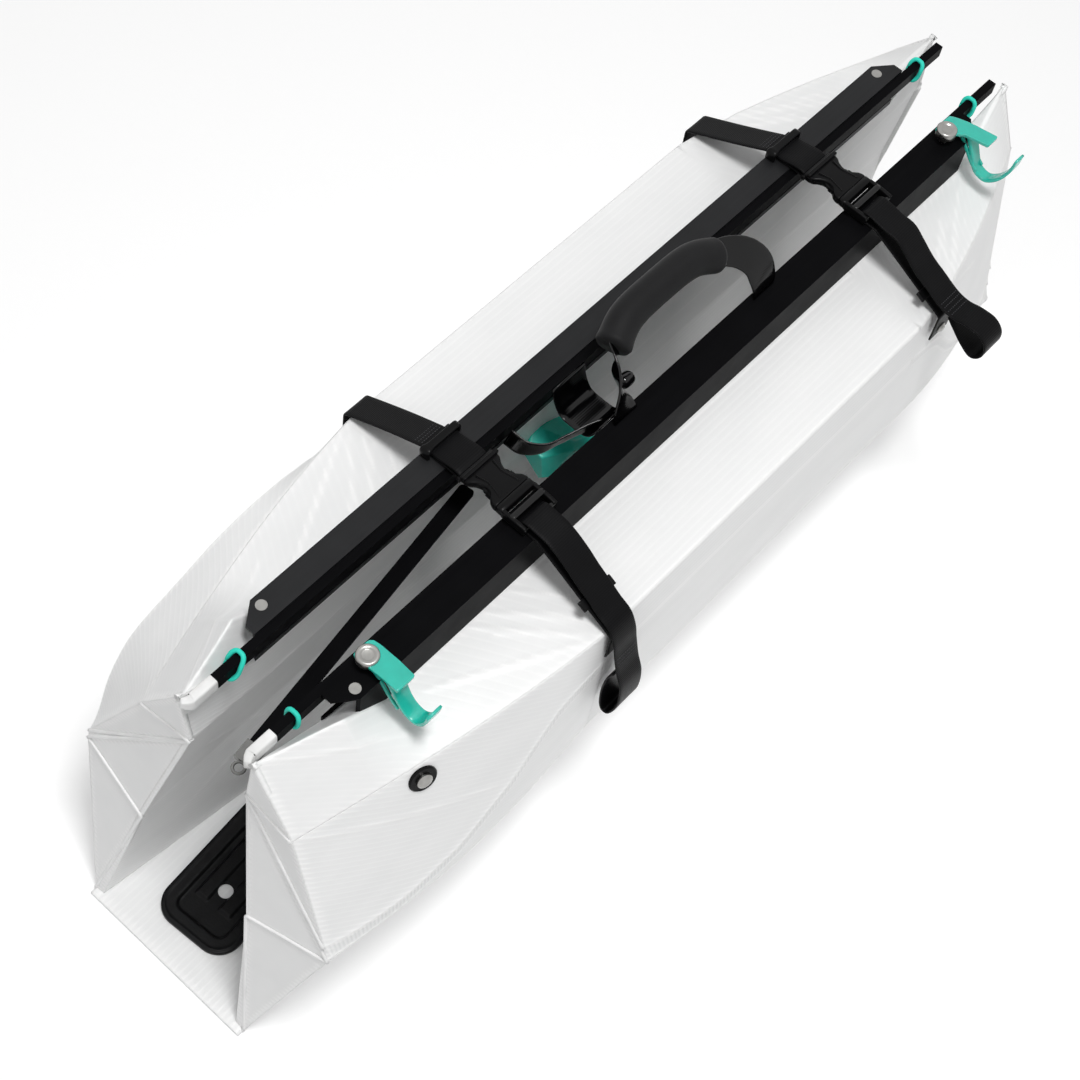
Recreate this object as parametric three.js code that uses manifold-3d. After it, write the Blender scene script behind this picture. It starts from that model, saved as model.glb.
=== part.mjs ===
// Folding kayak, folded into its carry bundle and strapped shut.
// Millimetres, +Z up, +X from the near end to the far end, +Y towards the left wing.
// The origin lies under the middle of the floor, on the surface that the bundle stands on.
// The hull sheet folds into a floor and two hollow wings, which are hinged along the floor's long creases.

import * as THREE from 'three';
import { mergeGeometries, mergeVertices } from 'three/addons/utils/BufferGeometryUtils.js';
import Module from 'manifold-3d';

const wasm = await Module();
wasm.setup();

// Driving dimensions
const hullLength = 1060;
const floorWidth = 176;
const sheetThickness = 4;
const shoulderHeight = 307;
const shoulderHalfWidth = 135;
const bellyHalfWidth = 138;
const bellyHeight = 140;
const railHeight = 43;
const railWidth = 22;
const valleyHalfWidth = 33.5;
const webbingWidth = 26;
const webbingThickness = 1.8;

// Clearances
const seat = 0.3;
const creaseGap = 0.42;
const sillClearance = 0.5;
const footClearance = 0.9;
const overrun = 2;

// Hull sheet
const floorEndBow = 7;
const waist = { halfWidth: 60, height: 150 };
const knee = { halfWidth: 46, drop: 77 };
const hip = { halfWidth: 138.5, drop: 45 };
const footHalfWidth = 46;
const bellyBulge = 11;

// The towers are the tapered ends of a wing. Distances along the hull are from the tower's own end
// of the floor, and rises are from the shoulder.
const nearTower = {
  length: 340,
  tip: { along: 68, across: 36.5, rise: 41 },
  ridge: { along: 65, across: 78, rise: -26 },
  belly: { along: 49, across: 132, up: 163 },
  knee: { along: 68, across: 29, rise: -23 },
  waist: { along: 36, across: 58, up: 148 },
  railStart: 138,
};
const farTower = {
  length: 315,
  tip: { along: 78, across: 39, rise: 41 },
  ridge: { along: 75, across: 68, rise: -24 },
  belly: { along: 114, across: 113, up: 160 },
  knee: { along: 76, across: 36, rise: -21 },
  waist: { along: 40, across: 60, up: 148 },
  railStart: 136,
};
const tipStationShares = [0, 0.34, 0.68];
const taperStationShares = [0, 0.25, 0.5, 0.75];
const middleStationShares = [0, 0.5, 1];

// The hip fold leaves the tower's end just above the belly and climbs to the shoulder's corner. By station.
const hipRiseShares = [0.12, 0.12, 0.12, 0.13, 0.2, 0.4, 0.71];
const hipSwellShares = [0, 0.5, 0.8, 1, 1, 1, 1];
const endInsetShare = 2.3;

// Rails
const rail = { wall: 2, chamferAlong: 17, chamferAcross: 13, lip: 6 };
const screw = {
  headRadius: 4.6, shankRadius: 2.4, shankLength: 9, sunk: 0.1, fromEnd: 20, across: 47, sides: 20,
};

// Battens on the valley side of the rails
const batten = { width: 7.4, height: 12, drop: 2, tipGap: 6, sleeveLength: 26, sleeveWall: 1.3 };
const cordLoop = {
  tubeRadius: 1.3, clearance: 0.8, nearFromTip: 40, farFromTip: 36, ringSteps: 20, sides: 6,
};

// Carry straps
const strap = {
  fromNearEnd: 350,
  fromFarEnd: 286,
  anchorDrop: 30,
  cornerRadius: 9,
  overRail: 3,
};
const buckle = {
  width: 38,
  aside: 2,
  height: 9.6,
  socketStart: 18,
  socketEnd: -20,
  plugEnd: -50,
  wall: 1.9,
  cornerRadius: 3,
  prongWidth: 5,
  prongClearance: 0.8,
  barLength: 7,
  barHeight: 3,
  slotLength: 5,
  windowStart: 0,
  windowEnd: -12,
};
const slider = { length: 14, height: 2.6, bar: 3, slot: 3.4, across: 47.5, wall: 4 };
const tail = { reach: 36, steps: 40 };

// The free tails' points, out from the shoulder's edge and up from it, as shares of their reach
const tailShares = {
  near: [
    [-0.75, 1.38], [-0.39, 1.2], [0.2, 0.88], [0.5, -0.19],
    [0.78, -0.92], [0.92, -1.42], [0.66, -3.2], [0.3, -2.8],
  ],
  far: [[-0.47, 1.18], [0.42, 0.81], [0.89, 0.92], [1.47, 0.67], [1.31, -0.39], [0.6, -0.61]],
};

// Paddle hooks and their thumb bolts, on the right rail
const hook = {
  thickness: 4,
  plateWidth: 24,
  plateBack: 11,
  plateReach: 44,
  bowlWidth: 17,
  fromNearEnd: 178,
  fromFarEnd: 175,
  boltInset: 6,
  nearTurn: 6,
  farTurn: 19,
};
const thumbBolt = {
  headRadius: 9, headHeight: 9, neckRadius: 5.4, neckHeight: 2, shankRadius: 3, shankLength: 6, knurls: 20,
};

// A hook's arm and top plate, out along the plate and up from its middle, as shares of the plate's reach
const armShares = [
  [0.38, 0], [0.56, 0], [0.66, -0.62], [0.8, -0.82], [1.14, -0.82], [1.36, -0.41], [1.47, 0.25],
];
const topShares = [[0.3, 0], [0.92, 0.08]];
const armRoundShare = 0.16;

// Carry handle and sling. Distances along the hull are from its middle.
const handle = {
  nearFoot: -60,
  farFoot: 120,
  gripNear: -40,
  gripFar: 88,
  reach: 67,
  droop: 13,
  tilt: 41,
  gripRadius: 14.5,
  boreRadius: 11.5,
  coreWidth: 18,
  anchorInset: 2.5,
};
const gripShares = [[0, 1], [0.2, 0.15], [0.5, 0], [0.8, 0.15], [1, 1]];
const legShares = [[0, 0], [0, 0.12], [0.16, 0.42]];
const sling = { fromMiddle: -62, width: 40, sag: 14, thickness: 2 };
const slingFlatShare = 0.55;

// Foot plate on the floor
const footPlate = {
  nearAlong: 21,
  length: 160,
  width: 80,
  cornerRadius: 22,
  base: 4,
  rim: 3,
  rimWidth: 4,
  turn: 4.5,
  across: 3,
  holeFromEnd: 50,
  holeRadius: 5,
  ribHeight: 3.4,
  ribWidth: 13,
  ribSpacing: 27,
  ribFromEnd: 30,
};

// Loose pieces in the valley
const looseBatten = { length: 285, width: 13, thickness: 3, along: 80, drop: 10, turn: 8.6 };
const endClip = { length: 15, wall: 1.2, clearance: 0.2, loopRadius: 4.6, loopWire: 1.3 };
const softBag = {
  length: 66, height: 50, thickness: 30, fromMiddle: -52, drop: 75, pleats: 3, pleatDepth: 2.4,
};
const bagSquareShare = 0.5;

// Side wall fasteners
const washer = { along: 167, drop: 29, radius: 12, thickness: 2.4, bore: 4.2, chamfer: 1, sides: 28 };
const sideBolt = { headRadius: 6.5, headHeight: 3.2, shankRadius: 3.6, sides: 18 };
const anchorBolt = { drop: 22, headRadius: 5, headHeight: 2.6, rimHeight: 0.8, sides: 18 };

// Limits of the mitres, as cosines, and the fineness of the curves
const sharpestMitre = 0.6;
const steepestLean = 0.78;
const steepestGapLean = 0.3;
const flatWeight = 0.02;
const reachTolerance = 1e-3;
const detail = { boreSides: 16, bendSteps: 5, gripSteps: 18, gripSides: 12, coreSteps: 12, loopSides: 6 };

const nearEnd = -hullLength / 2;
const farEnd = hullLength / 2;
const fromNear = (distance) => nearEnd + distance;
const fromFar = (distance) => farEnd - distance;
const railTop = shoulderHeight + seat + railHeight;
const railOuter = valleyHalfWidth + railWidth;
const degrees = Math.PI / 180;

const colours = {
  sheet: { color: 0xf0f0ee, roughness: 0.42, metalness: 0 },
  rail: { color: 0x0c0d0e, roughness: 0.38, metalness: 0.55 },
  webbing: { color: 0x101011, roughness: 0.7, metalness: 0 },
  moulded: { color: 0x0b0b0c, roughness: 0.35, metalness: 0 },
  foam: { color: 0x141516, roughness: 0.85, metalness: 0 },
  teal: { color: 0x27c9ae, roughness: 0.35, metalness: 0 },
  bag: { color: 0x1aa890, roughness: 0.3, metalness: 0 },
  steel: { color: 0xc4c4c2, roughness: 0.25, metalness: 1 },
  sleeve: { color: 0xe6e6e4, roughness: 0.4, metalness: 0 },
};

const kayak = new THREE.Group();

function addPiece(name, geometry, look) {
  const material = new THREE.MeshStandardMaterial(colours[look]);
  const mesh = new THREE.Mesh(geometry, material);
  mesh.name = name;
  kayak.add(mesh);
  return mesh;
}

// Mesh and solid helpers

function positionOnly(geometry) {
  const bare = geometry.index ? geometry.toNonIndexed() : geometry.clone();
  for (const key of Object.keys(bare.attributes)) {
    if (key !== 'position') bare.deleteAttribute(key);
  }
  return mergeVertices(bare, 1e-4);
}

function toSolid(geometry) {
  const merged = positionOnly(geometry);
  return new wasm.Manifold(new wasm.Mesh({
    numProp: 3,
    vertProperties: new Float32Array(merged.attributes.position.array),
    triVerts: new Uint32Array(merged.index.array),
  }));
}

function toGeometry(solid) {
  const mesh = solid.getMesh();
  const geometry = new THREE.BufferGeometry();
  geometry.setAttribute('position', new THREE.BufferAttribute(new Float32Array(mesh.vertProperties), 3));
  geometry.setIndex(new THREE.BufferAttribute(new Uint32Array(mesh.triVerts), 1));
  return geometry;
}

function cut(geometry, ...tools) {
  return toGeometry(tools.reduce((solid, tool) => solid.subtract(toSolid(tool)), toSolid(geometry)));
}

function join(geometry, ...others) {
  return toGeometry(others.reduce((solid, other) => solid.add(toSolid(other)), toSolid(geometry)));
}

function block(low, high) {
  const size = high.map((value, axis) => value - low[axis]);
  const middle = high.map((value, axis) => (value + low[axis]) / 2);
  return new THREE.BoxGeometry(...size).translate(...middle);
}

function rod(radius, low, high, sides) {
  return new THREE.CylinderGeometry(radius, radius, high - low, sides)
    .rotateX(Math.PI / 2)
    .translate(0, 0, (high + low) / 2);
}

function revolve(profile, sides) {
  const points = profile.map(([radius, height]) => new THREE.Vector2(radius, height));
  return new THREE.LatheGeometry(points, sides).rotateX(Math.PI / 2);
}

function mirrorAcross(geometry) {
  const mirrored = positionOnly(geometry);
  mirrored.applyMatrix4(new THREE.Matrix4().makeScale(1, -1, 1));
  const index = mirrored.index.array;
  for (let i = 0; i < index.length; i += 3) [index[i], index[i + 1]] = [index[i + 1], index[i]];
  return mirrored;
}

const onSide = (geometry, side) => (side > 0 ? geometry : mirrorAcross(geometry));

// A profile drawn in the Y-Z plane, made solid along X
function crosswise(shape, width, along) {
  const turn = new THREE.Matrix4().makeBasis(
    new THREE.Vector3(0, 1, 0),
    new THREE.Vector3(0, 0, 1),
    new THREE.Vector3(1, 0, 0),
  );
  return new THREE.ExtrudeGeometry(shape, { depth: width, bevelEnabled: false, curveSegments: 6 })
    .applyMatrix4(turn)
    .translate(along - width / 2, 0, 0);
}

// Replaces each corner of a polyline by a short round. A point's third entry is its own radius.
function rounded(points, radius, steps = 4) {
  const corners = points.map(([x, y]) => new THREE.Vector2(x, y));
  const path = [corners[0]];
  for (let i = 1; i < corners.length - 1; i += 1) {
    const [before, corner, after] = [corners[i - 1], corners[i], corners[i + 1]];
    const own = points[i][2] ?? radius;
    const reach = Math.min(own, corner.distanceTo(before) / 2, corner.distanceTo(after) / 2);
    const start = corner.clone().add(before.clone().sub(corner).setLength(reach));
    const end = corner.clone().add(after.clone().sub(corner).setLength(reach));
    path.push(...new THREE.QuadraticBezierCurve(start, corner, end).getPoints(steps));
  }
  path.push(corners[corners.length - 1]);
  return path.filter((point, i) => i === 0 || point.distanceTo(path[i - 1]) > reachTolerance);
}

// The outline of a band of even thickness along a path, mitred at its corners
function bandShape(path, thickness) {
  const runs = path.slice(1).map((point, i) => point.clone().sub(path[i]).normalize());
  const sides = path.map((point, i) => {
    const [before, after] = [runs[Math.max(i - 1, 0)], runs[Math.min(i, runs.length - 1)]];
    const run = before.clone().add(after).normalize();
    const reach = thickness / 2 / Math.max(run.dot(after), sharpestMitre);
    return new THREE.Vector2(-run.y, run.x).multiplyScalar(reach);
  });
  const left = path.map((point, i) => point.clone().add(sides[i]));
  const right = path.map((point, i) => point.clone().sub(sides[i]));
  return new THREE.Shape([...left, ...right.reverse()]);
}

function roundedRectangle(length, width, radius) {
  const shape = new THREE.Shape();
  const [x, y] = [length / 2, width / 2];
  shape.moveTo(-x + radius, -y);
  shape.lineTo(x - radius, -y);
  shape.absarc(x - radius, -y + radius, radius, -Math.PI / 2, 0);
  shape.lineTo(x, y - radius);
  shape.absarc(x - radius, y - radius, radius, 0, Math.PI / 2);
  shape.lineTo(-x + radius, y);
  shape.absarc(-x + radius, y - radius, radius, Math.PI / 2, Math.PI);
  shape.lineTo(-x, -y + radius);
  shape.absarc(-x + radius, -y + radius, radius, Math.PI, Math.PI * 1.5);
  return shape;
}

const plate = (shape, low, high) => new THREE.ExtrudeGeometry(shape, {
  depth: high - low, bevelEnabled: false, curveSegments: 5,
}).translate(0, 0, low);

// Hull wings
// A wing is a tube of folded sheet. Each station along it has one point on each fold line.

const mix = (from, to, share) => from + (to - from) * share;
const ease = (share) => mix(share, Math.sin((share * Math.PI) / 2), 0.5);

const railShare = (tower) => (tower.railStart - tower.tip.along) / (tower.length - tower.tip.along);

function towerShares(tower) {
  const start = railShare(tower);
  return [
    ...tipStationShares.map((share) => share * start),
    ...taperStationShares.map((share) => mix(start, 1, share)),
  ];
}

function towerStation(tower, share, hipRise, hipSwell) {
  const eased = ease(share);
  const along = (spot) => mix(spot.along, tower.length, share);
  const across = (spot, halfWidth) => mix(spot.across, halfWidth, eased);
  const level = (spot, drop) => shoulderHeight + mix(spot.rise, -drop, eased);
  const edge = { along: 0 };
  const tipShare = Math.max(0, 1 - share / railShare(tower));
  const belly = [
    along(tower.belly),
    mix(tower.belly.across, bellyHalfWidth, share) + bellyBulge * Math.sin(Math.PI * share),
    mix(tower.belly.up, bellyHeight, share),
  ];
  const ridge = [along(tower.ridge), across(tower.ridge, shoulderHalfWidth), level(tower.ridge, 0)];
  const hipTop = [ridge[0], mix(ridge[1], hip.halfWidth, hipSwell), ridge[2]];
  const crown = [
    along(tower.tip),
    mix(valleyHalfWidth, tower.tip.across, tipShare),
    shoulderHeight + tower.tip.rise * tipShare,
  ];
  const footEnd = floorWidth / 2 - endInsetShare * sheetThickness;
  const footRise = share ? footClearance : sillClearance;
  return {
    sill: [along(edge), floorWidth / 2, sheetThickness + sillClearance],
    belly,
    hip: belly.map((value, axis) => mix(value, hipTop[axis], hipRise)),
    ridge,
    seat: [crown[0], mix(railOuter + seat, crown[1], tipShare), crown[2]],
    crown,
    knee: [along(tower.knee), across(tower.knee, knee.halfWidth), level(tower.knee, knee.drop)],
    waist: [
      along(tower.waist),
      across(tower.waist, waist.halfWidth),
      mix(tower.waist.up, waist.height, share),
    ],
    foot: [along(edge), mix(footEnd, footHalfWidth, eased), sheetThickness + footRise],
  };
}

function middleStation(along) {
  return {
    sill: [along, floorWidth / 2, sheetThickness + sillClearance],
    belly: [along, bellyHalfWidth, bellyHeight],
    hip: [along, hip.halfWidth, shoulderHeight - hip.drop],
    ridge: [along, shoulderHalfWidth, shoulderHeight],
    seat: [along, railOuter + seat, shoulderHeight],
    crown: [along, valleyHalfWidth, shoulderHeight],
    knee: [along, knee.halfWidth, shoulderHeight - knee.drop],
    waist: [along, waist.halfWidth, waist.height],
    foot: [along, footHalfWidth, sheetThickness + footClearance],
  };
}

function wingStations() {
  const place = (station, move) => Object.fromEntries(
    Object.entries(station).map(([fold, [x, y, z]]) => [fold, new THREE.Vector3(move(x), y, z)]),
  );
  const taper = (tower, move) => towerShares(tower).map((share, i) => (
    place(towerStation(tower, share, hipRiseShares[i], hipSwellShares[i]), move)
  ));
  const near = taper(nearTower, (x) => nearEnd + x);
  const far = taper(farTower, (x) => farEnd - x);
  const middle = middleStationShares.map((share) => (
    place(middleStation(mix(nearTower.length, hullLength - farTower.length, share)), fromNear)
  ));
  return [...near, ...middle, ...far.reverse()];
}

const foldRuns = {
  side: ['sill', 'belly', 'hip', 'ridge'],
  shoulder: ['ridge', 'seat', 'crown'],
  inner: ['crown', 'knee', 'waist', 'foot'],
};

// Triangles of the wing's outer skin, by panel, as corner triples that share their vectors
function wingTriangles(stations) {
  const panels = {};
  for (const [panel, run] of Object.entries(foldRuns)) {
    panels[panel] = [];
    for (let i = 0; i < stations.length - 1; i += 1) {
      for (let r = 0; r < run.length - 1; r += 1) {
        const [a, b] = [stations[i][run[r]], stations[i][run[r + 1]]];
        const [c, d] = [stations[i + 1][run[r + 1]], stations[i + 1][run[r]]];
        if (i < stations.length / 2) panels[panel].push([a, b, d], [b, c, d]);
        else panels[panel].push([a, b, c], [a, c, d]);
      }
    }
  }
  panels.nearGusset = gussetTriangles(stations[0], false);
  panels.farGusset = gussetTriangles(stations[stations.length - 1], true);
  return panels;
}

function gussetTriangles(end, flip) {
  const fan = [
    [end.sill, end.foot, end.waist],
    [end.sill, end.waist, end.belly],
    [end.waist, end.knee, end.belly],
    [end.belly, end.knee, end.hip],
    [end.hip, end.knee, end.ridge],
    [end.ridge, end.knee, end.crown],
  ];
  return flip ? fan.map(([a, b, c]) => [a, c, b]) : fan;
}

const cornerKey = (corner) => corner.toArray().map((value) => value.toFixed(3)).join(' ');

function faceNormal([a, b, c]) {
  return b.clone().sub(a).cross(c.clone().sub(a));
}

// The step from the sheet's outer face to its inner face at each corner. Panels that meet there share it.
function mitreSteps(triangles) {
  const sums = new Map();
  for (const triangle of triangles) {
    const normal = faceNormal(triangle);
    if (normal.length() < reachTolerance) continue;
    normal.normalize();
    triangle.forEach((corner, i) => {
      const [one, two] = [triangle[(i + 1) % 3], triangle[(i + 2) % 3]];
      const angle = one.clone().sub(corner).angleTo(two.clone().sub(corner));
      const entry = sums.get(cornerKey(corner)) ?? { sum: new THREE.Vector3(), normals: [] };
      entry.sum.addScaledVector(normal, angle);
      entry.normals.push(normal);
      sums.set(cornerKey(corner), entry);
    });
  }
  for (const entry of sums.values()) {
    entry.sum.normalize();
    const lean = Math.min(...entry.normals.map((normal) => normal.dot(entry.sum)));
    entry.step = entry.sum.clone().multiplyScalar(-sheetThickness / Math.max(lean, steepestLean));
    entry.gap = creaseGap / Math.max(lean, steepestGapLean);
  }
  return sums;
}

// The edges of a panel's triangles by the keys of their ends, with the normal of the triangle on their left
function panelEdges(triangles) {
  const edges = new Map();
  for (const triangle of triangles) {
    const normal = faceNormal(triangle).normalize();
    const centre = triangle.reduce((sum, corner) => sum.add(corner), new THREE.Vector3()).divideScalar(3);
    triangle.forEach((from, i) => {
      const to = triangle[(i + 1) % 3];
      edges.set(`${cornerKey(from)}|${cornerKey(to)}`, { from, to, normal, centre });
    });
  }
  return edges;
}

const twinOf = (edges, { from, to }) => edges.get(`${cornerKey(to)}|${cornerKey(from)}`);

// The way that a corner on a panel's rim draws back from it: along the panel's own folds, if it has any
function rimDirections(edges) {
  const directions = new Map();
  const lean = (corner, target, weight) => {
    const sum = directions.get(cornerKey(corner)) ?? new THREE.Vector3();
    sum.addScaledVector(target.clone().sub(corner).normalize(), weight);
    directions.set(cornerKey(corner), sum);
  };
  for (const edge of edges.values()) {
    const twin = twinOf(edges, edge);
    if (twin) lean(edge.from, edge.to, edge.normal.angleTo(twin.normal) + flatWeight);
    lean(edge.from, edge.centre, flatWeight ** 2);
  }
  return directions;
}

// A closed solid of one panel: its outer face, its inner face and the mitred edge between them
function panelSolid(triangles, steps) {
  const real = triangles.filter((triangle) => faceNormal(triangle).length() > reachTolerance);
  const edges = panelEdges(real);
  const rim = [...edges.values()].filter((edge) => !twinOf(edges, edge));
  const rimKeys = new Set(rim.flatMap(({ from, to }) => [cornerKey(from), cornerKey(to)]));
  const directions = rimDirections(edges);
  const outer = (corner) => {
    const key = cornerKey(corner);
    if (!rimKeys.has(key)) return corner;
    return corner.clone().add(directions.get(key).clone().setLength(steps.get(key).gap));
  };
  const inner = (corner) => outer(corner).clone().add(steps.get(cornerKey(corner)).step);
  const faces = [];
  for (const [a, b, c] of real) {
    faces.push([outer(a), outer(b), outer(c)], [inner(a), inner(c), inner(b)]);
  }
  for (const { from: a, to: b } of rim) {
    const ordered = cornerKey(a) < cornerKey(b);
    faces.push([outer(b), outer(a), inner(ordered ? b : a)]);
    faces.push([outer(ordered ? a : b), inner(a), inner(b)]);
  }
  const geometry = new THREE.BufferGeometry();
  const values = faces.flat().flatMap((corner) => corner.toArray());
  geometry.setAttribute('position', new THREE.Float32BufferAttribute(values, 3));
  return positionOnly(geometry);
}

const stations = wingStations();
const skin = wingTriangles(stations);
const mitres = mitreSteps(Object.values(skin).flat());
for (const { sill, foot } of stations) {
  for (const corner of [sill, foot]) mitres.get(cornerKey(corner)).step.z = 0;
}

function addWingPanels(side, sideName) {
  const names = {
    side: 'side_panel',
    shoulder: 'shoulder_panel',
    inner: 'inner_wall',
    nearGusset: 'near_gusset',
    farGusset: 'far_gusset',
  };
  for (const [panel, name] of Object.entries(names)) {
    addPiece(`${sideName}_${name}`, onSide(panelSolid(skin[panel], mitres), side), 'sheet');
  }
}

function floorPanel() {
  const half = floorWidth / 2 - seat;
  const shape = new THREE.Shape();
  shape.moveTo(nearEnd, -half);
  shape.lineTo(farEnd, -half);
  shape.quadraticCurveTo(farEnd + floorEndBow * 2, 0, farEnd, half);
  shape.lineTo(nearEnd, half);
  shape.quadraticCurveTo(nearEnd - floorEndBow * 2, 0, nearEnd, -half);
  return plate(shape, 0, sheetThickness);
}

// Foot plate: a moulded tray with a raised rim, two long ribs with round ends and a hole
function footPlateSolid() {
  const { length, width, cornerRadius, base, rim, rimWidth } = footPlate;
  const outline = roundedRectangle(length, width, cornerRadius);
  const recess = roundedRectangle(length - 2 * rimWidth, width - 2 * rimWidth, cornerRadius - rimWidth);
  const ribLength = length - footPlate.ribFromEnd * 2;
  let solid = cut(plate(outline, 0, base + rim), plate(recess, base, base + rim + overrun));
  for (const side of [-1, 1]) {
    const ribShape = roundedRectangle(ribLength, footPlate.ribWidth, footPlate.ribWidth / 2);
    const rib = plate(ribShape, base / 2, base + footPlate.ribHeight)
      .translate(footPlate.ribFromEnd / 2, (side * footPlate.ribSpacing) / 2, 0);
    solid = join(solid, rib);
  }
  const hole = rod(footPlate.holeRadius, -overrun, base + footPlate.ribHeight + overrun, detail.boreSides)
    .translate(footPlate.holeFromEnd - length / 2, 0, 0);
  return cut(solid, hole)
    .translate(length / 2, 0, 0)
    .rotateZ(footPlate.turn * degrees)
    .translate(fromNear(footPlate.nearAlong), footPlate.across, sheetThickness + seat);
}

// Rails: aluminium channels that open towards the valley, with chamfered ends

function railProfile() {
  const { wall, lip } = rail;
  const [low, high] = [shoulderHeight + seat, railTop];
  const points = [
    [valleyHalfWidth, low], [railOuter, low], [railOuter, high], [valleyHalfWidth, high],
    [valleyHalfWidth, high - lip], [valleyHalfWidth + wall, high - lip],
    [valleyHalfWidth + wall, high - wall], [railOuter - wall, high - wall],
    [railOuter - wall, low + wall], [valleyHalfWidth + wall, low + wall],
    [valleyHalfWidth + wall, low + lip], [valleyHalfWidth, low + lip],
  ];
  return new THREE.Shape(points.map(([y, z]) => new THREE.Vector2(y, z)));
}

const railEnds = () => [fromNear(nearTower.railStart) + seat, farEnd - farTower.railStart - seat];

function chamferWedge(end, inwards) {
  const [tipAlong, tipAcross] = [end - inwards * overrun, railOuter + overrun];
  const wedge = new THREE.Shape([
    new THREE.Vector2(tipAlong, tipAcross),
    new THREE.Vector2(end + inwards * (rail.chamferAlong + overrun), tipAcross),
    new THREE.Vector2(end + inwards * rail.chamferAlong, railOuter),
    new THREE.Vector2(end, railOuter - rail.chamferAcross),
    new THREE.Vector2(tipAlong, railOuter - rail.chamferAcross - overrun),
  ]);
  return plate(wedge, shoulderHeight - overrun, railTop + overrun);
}

function railSolid(boltSpots) {
  const [start, end] = railEnds();
  const channel = crosswise(railProfile(), end - start, (start + end) / 2);
  const bores = boltSpots.map(({ along, across }) => (
    rod(thumbBolt.shankRadius + seat, railTop - rail.wall - overrun, railTop + overrun, detail.boreSides)
      .translate(along, across, 0)
  ));
  const sinks = screwSpots().map((along) => (
    screwSolid(seat, overrun).translate(along, screw.across, railTop)
  ));
  return cut(channel, chamferWedge(start, 1), chamferWedge(end, -1), ...bores, ...sinks);
}

function screwSpots() {
  const [start, end] = railEnds();
  return [start + screw.fromEnd, end - screw.fromEnd];
}

// A countersunk screw, flush with the top of the rail. With a clearance it is the tool for its own hole.
function screwSolid(clearance, above) {
  const { headRadius, shankRadius, shankLength, sides } = screw;
  const [head, shank] = [headRadius + clearance, shankRadius + clearance];
  return revolve([
    [0, -shankLength], [shank, -shankLength], [shank, shankRadius - headRadius],
    [head, 0], [head, above], [0, above],
  ], sides);
}

const hookAcross = valleyHalfWidth + hook.boltInset;
const hookSpots = {
  near: { along: fromNear(hook.fromNearEnd), across: hookAcross, turn: hook.nearTurn },
  far: { along: fromFar(hook.fromFarEnd), across: hookAcross, turn: hook.farTurn },
};

function addRail(side, sideName) {
  const boltSpots = side < 0 ? Object.values(hookSpots) : [];
  addPiece(`${sideName}_rail`, onSide(railSolid(boltSpots), side), 'rail');
  screwSpots().forEach((along, i) => {
    const flush = screwSolid(0, screw.sunk).translate(along, side * screw.across, railTop - screw.sunk);
    addPiece(`${sideName}_rail_${i ? 'far' : 'near'}_screw`, flush, 'steel');
  });
}

// Battens lie against the rail's lips and reach out to the tower tips
function addBatten(side, sideName) {
  const [inner, outer] = [valleyHalfWidth - seat - batten.width, valleyHalfWidth - seat];
  const [low, high] = [railTop - batten.drop - batten.height, railTop - batten.drop];
  const start = fromNear(nearTower.tip.along) + batten.tipGap;
  const end = farEnd - farTower.tip.along - batten.tipGap;
  const bar = block([start, inner, low], [end, outer, high]);
  addPiece(`${sideName}_batten`, onSide(bar, side), 'rail');
  const wall = batten.sleeveWall;
  const grip = seat / 2;
  const middle = { across: (inner + outer) / 2, up: (low + high) / 2 };
  const sleeve = cut(
    block([start - overrun, inner - grip - wall, low - grip - wall],
      [start + batten.sleeveLength, outer + grip + wall, high + grip + wall]),
    block([start - grip, inner - grip, low - grip],
      [start + batten.sleeveLength + overrun, outer + grip, high + grip]),
  );
  addPiece(`${sideName}_batten_sleeve`, onSide(sleeve, side), 'sleeve');
  const { tubeRadius, sides, ringSteps } = cordLoop;
  const half = new THREE.Vector2(batten.width / 2, batten.height / 2).length();
  const ringRadius = half + cordLoop.clearance / 2 + tubeRadius;
  const spots = { near: start + cordLoop.nearFromTip, far: end - cordLoop.farFromTip };
  for (const [where, along] of Object.entries(spots)) {
    const ring = new THREE.TorusGeometry(ringRadius, tubeRadius, sides, ringSteps)
      .rotateY(Math.PI / 2)
      .translate(along, side * middle.across, middle.up);
    addPiece(`${sideName}_${where}_cord_loop`, ring, 'teal');
  }
}

// Carry straps. Each half is one strip of webbing, laid out in the Y-Z plane.
// It climbs the side wall, crosses the shoulder and passes round the buckle's bar.

const webbingMiddle = webbingThickness / 2;
const lowerLayer = railTop + seat + webbingMiddle;
const secondLayer = lowerLayer + webbingThickness + seat;
const buckleLow = lowerLayer + webbingMiddle + seat;
const buckleHigh = buckleLow + buckle.height;
const upperLayer = buckleLow + buckle.barHeight + seat + webbingMiddle;
const sliderLow = secondLayer + webbingMiddle + seat;
const sliderTop = sliderLow + slider.height;

function lowerRun(slotAcross) {
  const sideWall = Math.max(hip.halfWidth, bellyHalfWidth) + seat + webbingMiddle;
  return [
    [sideWall, shoulderHeight - strap.anchorDrop],
    [sideWall, shoulderHeight + seat + webbingMiddle],
    [railOuter + strap.overRail, lowerLayer, strap.overRail],
    [slotAcross, lowerLayer, 0],
    [slotAcross, upperLayer, 0],
  ];
}

function leftWebbing(along) {
  const slot = buckle.socketStart - buckle.barLength - buckle.slotLength / 2;
  const legs = [-1, 1].map((side) => slider.across + (side * (slider.bar + slider.slot)) / 2);
  const over = sliderTop + seat + webbingMiddle;
  const path = rounded([
    ...lowerRun(slot),
    [buckle.socketStart + webbingThickness, upperLayer],
    [legs[0] - slider.length, secondLayer],
    [legs[0], secondLayer, 0], [legs[0], over, 0], [legs[1], over, 0], [legs[1], secondLayer, 0],
    [slider.across + slider.length / 2, secondLayer],
  ], strap.cornerRadius);
  return crosswise(bandShape(path, webbingThickness), webbingWidth, along);
}

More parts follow.
